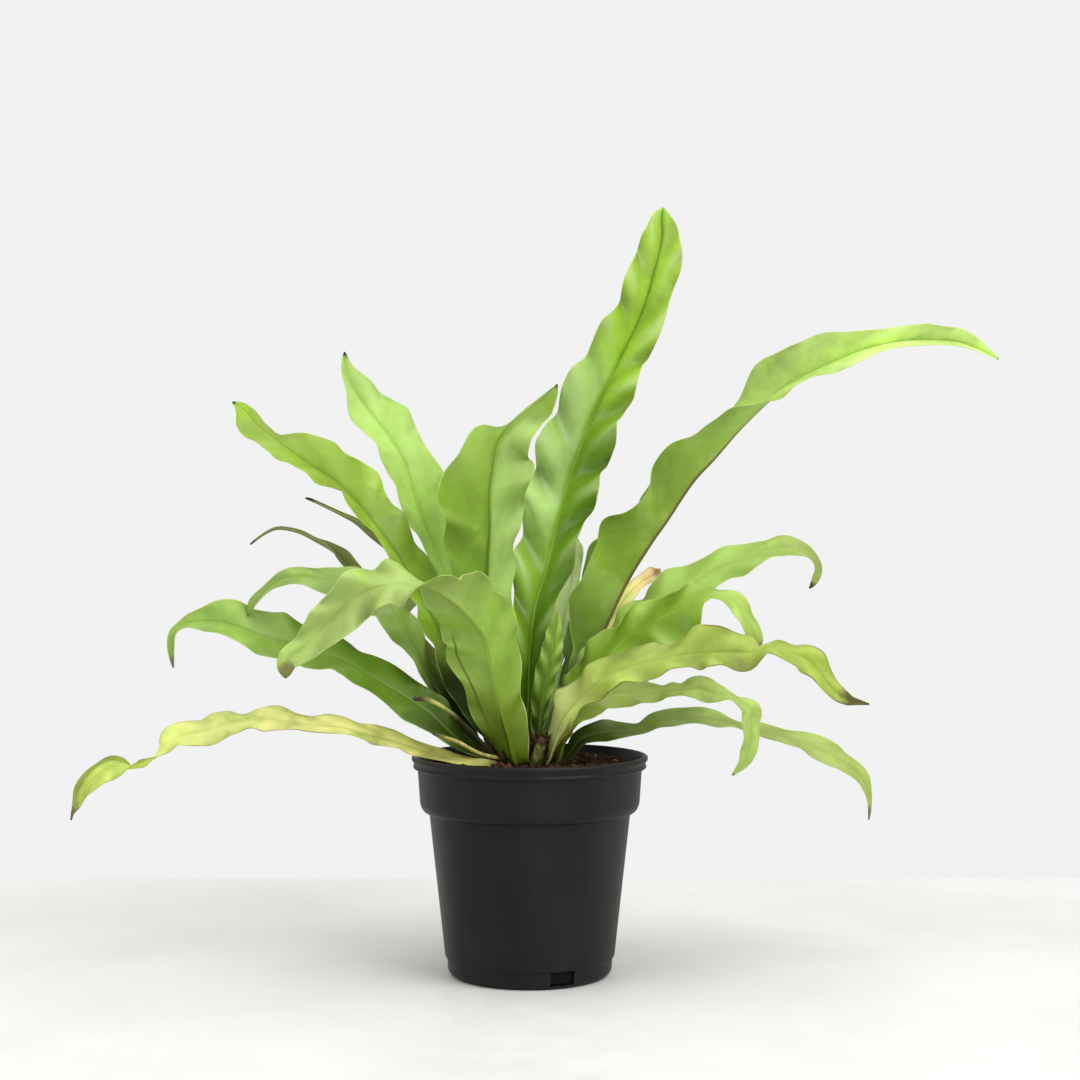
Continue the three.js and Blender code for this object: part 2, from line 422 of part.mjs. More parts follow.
// A thin blade whose halves fold up from a keeled midrib, with waves growing to its margins.
function frondSolid(frond, index) {
  const count = frond.waves ? frond.waves * SECTIONS_PER_WAVE : 2 * frond.route.length;
  const positions = [];
  const faces = [];
  sectionsOf(frond, count).forEach(({ u, at, half, fold, across, up }) => {
    const fade = Math.min(1, u / FLAT_AT_BASE) * Math.min(1, (1 - u) / FLAT_AT_TIP);
    const margin = (side) => {
      const turn = frond.waves * u + index * PHASE_STEP + (side < 0 ? 0 : MARGIN_LAG);
      const wave = frond.ruffle * half * fade * Math.sin(2 * Math.PI * turn);
      return at.clone().addScaledVector(across, side * half * Math.cos(fold))
        .addScaledVector(up, half * Math.sin(fold) + wave);
    };
    const keel = THREE.MathUtils.lerp(KEEL_AT_BASE, KEEL_AT_TIP, u);
    const corners = [margin(-1), at.clone().addScaledVector(up, -keel), margin(1), at];
    corners.forEach((corner) => positions.push(...corner.toArray()));
  });
  // Each strip is split from its margin, so the upper and the lower side never cross.
  for (let k = 0; k < count; k += 1) {
    for (let a = 0; a < 4; a += 1) {
      const [a0, b0] = [4 * k + a, 4 * k + (a + 1) % 4];
      if (a % 2 === 0) faces.push(a0, b0, b0 + 4, a0, b0 + 4, a0 + 4);
      else faces.push(a0, b0, a0 + 4, b0, b0 + 4, a0 + 4);
    }
  }
  const end = 4 * count;
  faces.push(0, 3, 1, 1, 3, 2, end, end + 1, end + 3, end + 1, end + 2, end + 3);
  const geometry = new THREE.BufferGeometry();
  geometry.setAttribute('position', new THREE.Float32BufferAttribute(positions, 3));
  geometry.setIndex(faces);
  return toSolid(geometry);
}

// ---- the assembly -----------------------------------------------------------------------
function part(name, geometry, roughness) {
  const material = new THREE.MeshStandardMaterial({
    color: colours[name] ?? FROND_COLOUR, roughness, metalness: 0 });
  const mesh = new THREE.Mesh(geometry, material);
  mesh.name = name;
  return mesh;
}

const pottedFern = new THREE.Group();
pottedFern.add(part('pot', makePot(), 0.45));
const mix = mixBody(0).subtract(crownWithRoots(CLEARANCE));
pottedFern.add(part('potting_mix', toGeometry(mix), 1.0));
pottedFern.add(part('rhizome', toGeometry(crownWithRoots(0)), 0.9));
const seat = crownBody(CLEARANCE).add(mixBody(CLEARANCE));
Object.entries(fronds).forEach(([name, frond], index) => {
  pottedFern.add(part(name, toGeometry(frondSolid(frond, index).subtract(seat)), 0.55));
});

export default pottedFern;
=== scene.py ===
"""The looks of a potted fern: a wavy bird's-nest fern in a round nursery pot.

Tables are in millimetres in the part's frame (+Z up, -Y the front), and meshes are
made in metres. Colours are written as the display shows them, 0 to 255.
"""
import math
import random

import bpy
import numpy as np
from mathutils import Matrix, Vector, noise


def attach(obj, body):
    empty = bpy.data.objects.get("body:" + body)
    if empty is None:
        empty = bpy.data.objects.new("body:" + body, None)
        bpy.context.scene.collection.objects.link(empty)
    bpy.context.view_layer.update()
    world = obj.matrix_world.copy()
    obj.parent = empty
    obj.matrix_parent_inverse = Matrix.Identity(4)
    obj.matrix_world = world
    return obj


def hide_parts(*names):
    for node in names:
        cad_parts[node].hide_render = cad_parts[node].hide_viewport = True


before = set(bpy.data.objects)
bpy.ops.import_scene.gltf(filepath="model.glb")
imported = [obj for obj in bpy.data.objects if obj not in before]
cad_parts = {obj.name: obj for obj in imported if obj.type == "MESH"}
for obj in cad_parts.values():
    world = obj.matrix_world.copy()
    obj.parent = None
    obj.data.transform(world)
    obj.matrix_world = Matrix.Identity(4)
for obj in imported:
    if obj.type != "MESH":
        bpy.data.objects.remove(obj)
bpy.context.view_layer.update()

MM = 0.001
FULL_TURN = 2 * math.pi

# ---- sizes shared with the frame ----
RIM_RADIUS = 65.0
POT_HEIGHT = 120.0
WALL = 1.5
FLOOR = 2.0
LIP_HEIGHT = 7.0
COLLAR_TOP_RADIUS = 61.7
COLLAR_BOTTOM_RADIUS = 60.4
COLLAR_BOTTOM = 94
SHOULDER_BOTTOM = 88.5
BODY_TOP_RADIUS = 55.3
BODY_BOTTOM_RADIUS = 46.6
FOOT_RADIUS = 45.0
FOOT_HEIGHT = 9.4
FOOT_ROUNDING = 2.5
DRAIN_SLOTS = 3
DRAIN_SIZE = (8.0, 13.7, 7.6)
FIRST_DRAIN_ANGLE = math.radians(-67)
MIX_GAP = 0.3
SOIL_EDGE = 115
SOIL_MIDDLE = 116
CROWN = np.array((-3.0, -1.0, 113.0))
CROWN_RADIUS = 21.0
CROWN_DEPTH_RATIO = 0.78
CROWN_HEIGHT = 14.0
CROWN_DEPTH = 24.0
ROOT_COUNT = 7

KEEL_AT_BASE = 2.3  # how deep a midrib stands out below
KEEL_AT_TIP = 0.6
MARGIN_LAG = 0.37  # of a wave, between the two margins
PHASE_STEP = 0.17  # of a wave, from one frond to the next
FLAT_AT_BASE = 0.18  # of the length, where the waves are still growing
FLAT_AT_TIP = 0.08
BURIED_START = 0.45  # of the way from the crown's middle to the route, where a frond starts

# ---- fronds ----
# lean: the way it leans from above, degrees from +X. waves, ruffle: how many waves its
# margins have and how deep they are for its width. outer_ruffle: how deep past its bend.
# slant: how far a wave runs ahead at the midrib, in waves. look: its kind in LOOKS. route:
# the midrib's x, y, z, the half width there, the roll and how far the halves fold up, both
# in degrees.
FRONDS = {
    "frond_tall": dict(lean=70, waves=9, ruffle=0.3, slant=0.5, look="tall", route=[
        (-2, 5, 126, 5, 0, 25), (-1, 10, 149, 8, 5, 40), (0, 18, 174, 11, 15, 50),
        (3, 26, 200, 16, 15, 38), (9, 33, 220, 19, 5, 32), (15, 39, 245, 22, 5, 30),
        (24, 45, 278, 24, 12, 32), (36, 51, 310, 24, 12, 35), (50, 55, 340, 22.5, 15, 40),
        (64, 59, 369, 19.5, 20, 42), (73, 63, 398, 16.5, 20, 32), (77, 66, 416, 12.5, 15, 30),
        (77, 67, 427, 7, 15, 30), (78, 68, 434, 1.5, 15, 30)]),
    "frond_long_right": dict(lean=15, waves=9, ruffle=0.12, look="long", route=[
        (9, 6, 129, 4, 15, 40), (24, 20, 152, 9, 0, 50), (34, 27, 171, 18, -15, 55),
        (44, 33, 194, 24, -20, 62), (55, 36, 216, 27, -20, 68), (68, 37, 237, 26, -20, 65),
        (77, 34, 250, 21.5, -20, 60), (92, 38, 272, 23.5, -20, 64),
        (105, 41, 286, 20.5, -18, 62), (118, 43, 301, 16, -12, 48), (129, 44, 312, 15, 5, 32),
        (138, 45, 320, 17, 27, 30), (148, 46, 328, 20, 42, 36), (163, 48, 336, 19.5, 52, 44),
        (180, 50, 344, 16, 64, 48), (196, 51, 350, 12, 70, 48), (215, 53, 354, 9, 72, 48),
        (232, 55, 355, 9.5, 72, 45), (248, 57, 354, 8, 74, 45), (260, 58, 350, 5, 75, 45),
        (273, 60, 344, 0.8, 75, 45)]),
    "frond_upright_front": dict(lean=-95, waves=7, ruffle=0.12, look="front", route=[
        (-11, -6, 128, 6, 0, 20), (-14, -10, 150, 9, 5, 28), (-18, -16, 180, 14, 12, 28),
        (-23, -20, 205, 19, 17, 32), (-23, -23, 227, 22.5, 20, 35),
        (-22, -25, 245, 26, 22, 35), (-22, -26, 262, 27.5, 18, 30), (-20, -26, 278, 25, 8, 26),
        (-17, -24, 291, 20, 0, 28), (-11, -22, 299, 16, -14, 26), (-3, -18, 306, 12.5, -22, 28),
        (5, -15, 312, 9, -26, 25), (12, -13, 319, 4.5, -30, 20), (15, -12, 323, 0.8, -30, 20)]),
    "frond_pale_left": dict(lean=145, waves=7, ruffle=0.14, look="pale", route=[
        (-16, 3, 128, 4, 0, 20), (-26, 13, 155, 7.5, -5, 12), (-38, 15, 189, 11, -8, 8),
        (-49, 21, 221, 13.5, -3, 12), (-57, 24, 240, 18, -10, 26), (-65, 27, 262, 18.5, -18, 24),
        (-71, 30, 282, 17.5, -20, 20), (-80, 32, 297, 17.5, -22, 20), (-91, 34, 311, 16, -24, 16),
        (-99, 36, 322, 12.5, -15, 20), (-104, 37, 332, 8, -8, 20), (-106, 38, 340, 3.5, -8, 20),
        (-106, 38, 346, 1.2, -8, 20)]),
    "frond_arching_left": dict(lean=200, waves=8, ruffle=0.12, look="arching", route=[
        (-21, -3, 126, 5, -20, 12), (-31, -6, 148, 12.5, -62, 8), (-48, -4, 185, 14.5, -52, 8),
        (-66, -4, 220, 15, -53, 15), (-77, -4, 237, 17, -48, 20), (-90, -1, 253, 18.5, -50, 25),
        (-104, 3, 268, 19.5, -50, 25), (-121, 4, 280, 19, -50, 20), (-132, 5, 288, 15.5, -50, 10),
        (-141, 5, 295, 12, -46, -8), (-150, 6, 302, 11.5, -48, -18), (-156, 7, 309, 10, -46, -18),
        (-161, 7, 313, 5, -45, -5), (-165, 7, 315, 1, -45, 0)]),
    "frond_thin_twisted": dict(lean=170, waves=6, ruffle=0.12, look="dull", route=[
        (-20, 6, 125, 3, 0, 20), (-31, 11, 152, 5, -10, 25), (-47, 16, 184, 5.5, -20, 40),
        (-63, 20, 212, 4.5, -20, 50), (-78, 23, 231, 4.5, -20, 55), (-90, 24, 241, 3.2, -20, 60),
        (-98, 24, 248, 3, -15, 50), (-107, 23, 253, 1.6, -20, 55), (-119, 21, 259, 1.2, -20, 50),
        (-126, 19, 262, 1.4, -20, 45)]),
    "frond_curled_left": dict(lean=165, waves=6, ruffle=0.15, look="dull", route=[
        (-19, 10, 122, 3, 0, 18), (-33, 21, 146, 6, -20, 12), (-55, 29, 170, 6.5, -25, 10),
        (-80, 33, 199, 7, -25, 12), (-98, 34, 218, 6.5, -22, 12), (-107, 34, 228, 6, -20, 15),
        (-114, 34, 234, 4.5, -15, 35), (-122, 34, 238, 2.4, -15, 50), (-132, 33, 243, 1.7, -15, 45),
        (-143, 32, 245, 1.5, -20, 40), (-151, 32, 242, 1.2, -25, 40), (-159, 31, 236, 0.8, -25, 40)]),
    "frond_bent_left": dict(lean=185, waves=7, ruffle=0.15, look="bent", route=[
        (-25, -4, 123, 3.5, -10, 18), (-40, -6, 140, 8, -55, 12), (-52, -10, 159, 6, -44, 12),
        (-61, -20, 178, 8.5, -40, 8), (-69, -28, 195, 13, -42, -2), (-76, -29, 206, 14, -45, -10),
        (-85, -31, 213, 13.5, -47, -10), (-100, -33, 216, 11.5, -45, -8),
        (-111, -35, 218, 9, -44, -2), (-121, -35, 219, 7, -45, 0), (-130, -36, 218, 5.5, -42, 5),
        (-136, -36, 215, 4.3, -35, 10), (-142, -37, 210, 4.5, -35, 10),
        (-147, -38, 204, 3.6, -40, 10), (-149, -38, 198, 0.8, -45, 12)]),
    "frond_folded_front": dict(lean=-125, waves=9, ruffle=0.14, outer_ruffle=0.42, look="folded", route=[
        (-8, -18, 118, 8, 0, 16), (-12, -22, 131, 12.5, 25, 18), (-15, -26, 141, 14.5, 40, 22),
        (-18, -32, 156, 17.5, 45, 28), (-20, -38, 169, 21, 48, 30), (-22, -43, 180, 23.5, 50, 30),
        (-25, -49, 190, 23, 46, 32), (-33, -56, 200, 21, 38, 30), (-40, -62, 207, 18.5, 28, 25),
        (-47, -67, 212, 17.5, 12, 18), (-54, -74, 216, 17, -10, 12), (-66, -79, 216, 15, -25, 10),
        (-76, -82, 214, 14, -38, 10), (-85, -84, 210, 13, -46, 12), (-94, -85, 203, 12, -48, 15),
        (-102, -86, 194, 10.5, -40, 12), (-110, -86, 187, 8.5, -35, 10),
        (-117, -87, 181, 7, -35, 8), (-122, -87, 176, 5.5, -25, 5), (-123, -87, 168, 2.5, -20, 5)]),
    "frond_low_left": dict(lean=192, waves=7, ruffle=0.08, look="low", route=[
        (-26, -11, 120, 3.5, -20, 14), (-39, -20, 131, 8, -42, 5), (-53, -25, 145, 13, -52, 3),
        (-66, -26, 154, 14, -50, 3), (-84, -30, 165, 14, -40, 5), (-101, -31, 175, 14.5, -36, 5),
        (-118, -34, 180, 15.5, -42, 9), (-133, -37, 184, 16.5, -45, 15),
        (-147, -40, 189, 15.5, -45, 15), (-161, -43, 194, 13.5, -45, 16),
        (-170, -45, 195, 10, -45, 18), (-178, -47, 195, 6.5, -40, 15), (-183, -48, 193, 3.8, -32, 10),
        (-187, -49, 189, 3, -38, 10), (-188, -49, 181, 2.5, -45, 10), (-187, -49, 171, 0.8, -45, 10)]),
    "frond_yellow_left": dict(lean=186, waves=9, ruffle=0.2, look="yellow", route=[
        (-23, -17, 117, 3, -30, 12), (-42, -19, 120, 4, -42, 6), (-59, -20, 125, 5, -48, 6),
        (-79, -23, 132, 6.3, -42, 6), (-102, -27, 138, 6.5, -40, 10), (-121, -31, 140, 6.3, -42, 8),
        (-138, -34, 143, 8, -44, 0), (-149, -36, 143, 8, -36, -5), (-159, -38, 141, 8.5, -42, -4),
        (-173, -41, 137, 9.5, -46, 4), (-187, -43, 134, 8.5, -40, 0), (-193, -45, 128, 6.5, -20, 0),
        (-198, -46, 124, 5, 0, 0), (-204, -47, 120, 5, 22, 2), (-209, -48, 119, 5, 12, 5),
        (-214, -49, 119, 6.5, -35, 8), (-221, -51, 118, 8, -50, 10), (-228, -53, 112, 7, -50, 8),
        (-233, -54, 107, 5.5, -50, 10), (-236, -55, 100, 3.6, -46, 12), (-238, -55, 96, 1.5, -45, 14),
        (-239, -56, 92, 0.6, -45, 15)]),
    "frond_upper_right": dict(lean=8, waves=7, ruffle=0.16, look="light", route=[
        (15, 1, 125, 4, 35, 14), (26, 3, 150, 10, 36, 6), (40, 7, 172, 14, 40, 0),
        (56, 11, 189, 17, 38, -8), (73, 15, 203, 18.5, 36, -8), (90, 19, 214, 17, 36, 0),
        (102, 21, 221, 14, 38, 0), (116, 23, 227, 12, 38, 3), (130, 25, 232, 9, 40, 2),
        (143, 26, 235, 8, 40, 5), (154, 27, 233, 6, 42, 2), (161, 27, 228, 5, 46, 2),
        (163, 27, 222, 4, 50, 5), (161, 27, 216, 3.5, 50, 6), (158, 27, 211, 1.5, 50, 10)]),
    "frond_broad_right": dict(lean=-18, waves=7, ruffle=0.14, look="broad", route=[
        (12, -5, 124, 4, 40, 15), (20, -9, 144, 9, 50, 10), (31, -11, 164, 14, 50, 5),
        (45, -14, 180, 17, 42, 0), (64, -19, 193, 20, 45, -5), (76, -22, 199, 22, 50, -14),
        (87, -25, 205, 17, 45, -13), (95, -28, 209, 10, 28, -5), (102, -31, 209, 6.5, 22, 0),
        (109, -33, 206, 6.5, 34, 5), (114, -36, 199, 6.5, 35, 5), (118, -38, 191, 6, 35, 5),
        (120, -39, 184, 4.8, 35, 5), (121, -39, 179, 2, 35, 8)]),
    "frond_yellow_right": dict(lean=-35, waves=8, ruffle=0.18, look="blotchy", route=[
        (10, -13, 119, 6.5, 45, 12), (17, -29, 141, 12, 62, 10), (27, -38, 154, 13, 60, 10),
        (42, -46, 167, 13, 52, 8), (58, -51, 173, 13, 50, 2), (73, -56, 177, 13, 38, 3),
        (89, -60, 179, 15, 45, 18), (99, -63, 180, 15, 48, 18), (109, -66, 180, 13, 45, 4),
        (115, -68, 180, 11, 42, -3), (119, -69, 181, 8, 32, 0), (122, -69, 182, 6, 20, 0),
        (128, -70, 182, 6.5, 34, 4), (135, -71, 180, 7.5, 35, 3), (142, -72, 177, 8.5, 35, 9),
        (148, -73, 171, 7.5, 32, 10), (153, -74, 164, 6, 32, 10), (158, -74, 159, 4.5, 36, 10),
        (163, -75, 156, 3.5, 40, 10), (168, -75, 155, 2, 40, 10), (174, -75, 154, 0.8, 40, 10)]),
    "frond_hooked_right": dict(lean=-30, waves=8, ruffle=0.2, look="hooked", route=[
        (15, -11, 118, 4, 40, 12), (19, -22, 138, 8, 66, 8), (28, -29, 148, 9, 68, 6),
        (38, -30, 154, 10, 64, 5), (54, -29, 157, 8.5, 52, 0), (68, -30, 157, 7.5, 45, -4),
        (74, -31, 158, 6, 30, 0), (80, -32, 158, 5.5, 30, 0), (86, -33, 159, 7.5, 50, 5),
        (91, -34, 159, 8, 54, 5), (97, -36, 157, 7, 40, 0), (102, -38, 156, 6, 28, 0),
        (107, -40, 155, 4.5, 16, 0), (113, -42, 152, 5, 26, 2), (117, -43, 148, 5.5, 35, 5),
        (117, -44, 141, 5.5, 40, 5), (117, -45, 134, 5, 40, 6), (115, -45, 127, 4.5, 40, 10),
        (113, -45, 121, 3.5, 40, 10), (107, -45, 114, 0.8, 40, 10)]),
    "frond_low_right": dict(lean=5, waves=7, ruffle=0.14, look="olive", route=[
        (20, -3, 119, 4, 35, 12), (28, -2, 129, 6, 43, 10), (39, 0, 132, 7, 45, 10),
        (50, 3, 133, 7, 36, 6), (61, 6, 134, 6, 32, 5), (70, 8, 138, 6, 35, 4),
        (81, 10, 140, 7, 40, 1), (92, 12, 141, 7, 40, 0), (103, 14, 139, 6.5, 35, 0),
        (113, 16, 136, 5.5, 26, 0), (122, 17, 133, 5, 27, 0), (130, 18, 132, 5.5, 35, 0),
        (142, 19, 129, 6, 40, 0), (154, 21, 125, 7, 45, 0), (163, 22, 121, 8, 50, 0),
        (175, 24, 115, 7.3, 54, 0), (185, 26, 107, 6, 50, 5), (190, 27, 99, 4, 50, 10),
        (192, 28, 90, 2.5, 45, 10), (192, 29, 80, 0.8, 45, 10)]),
    "frond_young_crinkled": dict(lean=-60, waves=6, ruffle=0.3, look="young", route=[
        (4, -5, 127, 3, 0, 30), (6, -7, 144, 6, -18, 40), (8, -9, 159, 8, -26, 44),
        (12, -11, 174, 8, -25, 44), (14, -12, 188, 6, -24, 42), (15, -12, 199, 1.5, -24, 40)]),
    "frond_young_back": dict(lean=85, waves=4, ruffle=0.15, look="veiled", route=[
        (6, 10, 126, 3, 0, 20), (11, 31, 154, 5, -20, 12), (18, 52, 186, 7, -30, 6),
        (23, 59, 210, 7, -35, 4), (25, 62, 225, 7.5, -35, 5), (26, 63, 235, 6, -30, 10),
        (27, 63, 240, 2.5, -28, 12)]),
    "frond_withered": dict(lean=40, waves=5, ruffle=0.3, look="withered", route=[
        (14, 8, 122, 3, 0, 25), (27, 27, 154, 4, 35, 35), (38, 41, 179, 5, 46, 40),
        (48, 43, 196, 5, 50, 44), (57, 47, 208, 6, 55, 42), (65, 49, 215, 5, 58, 44),
        (72, 50, 219, 6, 60, 40), (75, 50, 222, 2, 58, 40)]),
    "frond_back_arching": dict(lean=88, waves=7, ruffle=0.14, look="green", route=[
        (0, 13, 124, 4, 0, 18), (0, 32, 148, 8, 0, 18), (3, 58, 174, 13, 0, 18),
        (9, 88, 200, 17, 0, 18), (11, 125, 217, 15, 0, 18), (13, 160, 222, 11, 0, 18),
        (13, 190, 218, 6, 0, 18), (14, 205, 212, 0.8, 0, 18)]),
    "frond_back_right": dict(lean=50, waves=7, ruffle=0.14, look="olive", route=[
        (8, 13, 120, 3, 0, 18), (19, 30, 141, 7, 10, 18), (33, 49, 168, 12, 15, 18),
        (51, 72, 187, 15, 20, 18), (70, 94, 192, 13, 20, 18), (89, 112, 186, 9, 15, 18),
        (101, 125, 176, 5, 10, 18), (107, 131, 168, 0.8, 0, 18)]),
    "frond_back_left": dict(lean=125, waves=7, ruffle=0.14, look="light", route=[
        (-11, 11, 123, 4, 0, 18), (-21, 25, 145, 8, 0, 18), (-32, 44, 171, 13, 0, 18),
        (-44, 68, 193, 15, 0, 18), (-57, 94, 204, 13, 0, 18), (-68, 116, 203, 9, 0, 18),
        (-76, 130, 196, 5, 0, 18), (-80, 136, 188, 0.8, 0, 18)]),
    "frond_back_low": dict(lean=68, waves=6, ruffle=0.14, look="olive", route=[
        (1, 16, 118, 3, 0, 18), (8, 38, 129, 8, 0, 18), (15, 62, 143, 11, 0, 18),
        (24, 90, 156, 12, 0, 18), (33, 120, 160, 9, 0, 18), (39, 144, 157, 5, 0, 18),
        (44, 158, 152, 0.8, 0, 18)]),
}

# How each kind of frond is coloured. Colours are (red, green, blue), spans and places are in
# shares of its length from the crown, and the rest in millimetres or from 0 to 1.
# upper, lower: its two faces, and outer what they change to over outer_span.
# rib, keel: the midrib on them, and rib_far, keel_far what it changes to over far_span.
# rib_share, rib_width: how strong the upper midrib is and how broad both are.
# foot: near the crown, up to foot_to, and in full below foot_full of that; on most kinds a darker
# colour, painted shade where the fronds' bases crowd, and on the yellow kinds their own pale base.
# blotch, cover: patches and how much of it they cover. rim, rim_width: the margin's line.
# tip, tip_length: the dried end. pleat, crest: how strongly painted shade darkens the waves'
# hollows and a pale painted sheen lights their crests, and that sheen's colour. shine, gloss:
# its roughness and how much it reflects. through: the light let through.
# line: a thin streak beside a margin (side, how far in, half width, from, to, colour); on the
# folded kind a painted shade in the crease of its rolled margin, on the others the margin's own colour.
# halves: painted light on one side of the midrib, tinted lighter as a painted sheen or darker as
# painted shade (side, from, to, colour, strength). A side is 1 for the left half of the upper
# face, its tip pointing up, and -1 for the right one.
LOOK = dict(
    upper=(140, 176, 50), lower=(144, 178, 60), outer=(166, 200, 84), outer_span=(0.4, 0.9),
    rib=(156, 188, 80), rib_far=(120, 154, 44), keel=(88, 118, 26), keel_far=(100, 132, 40),
    far_span=(0.45, 0.7), rib_share=0.4, rib_width=1.0, foot=(84, 108, 18), foot_to=0.34,
    foot_full=0.3, blotch=(168, 198, 84), cover=0.2, rim=(188, 208, 120), rim_width=0.45,
    tip=(128, 136, 70), tip_length=1.5, painted_pleat_light=0.1, crest=(190, 218, 120), shine=0.36,
    gloss=0.36, through=0.3, line=None, halves=())
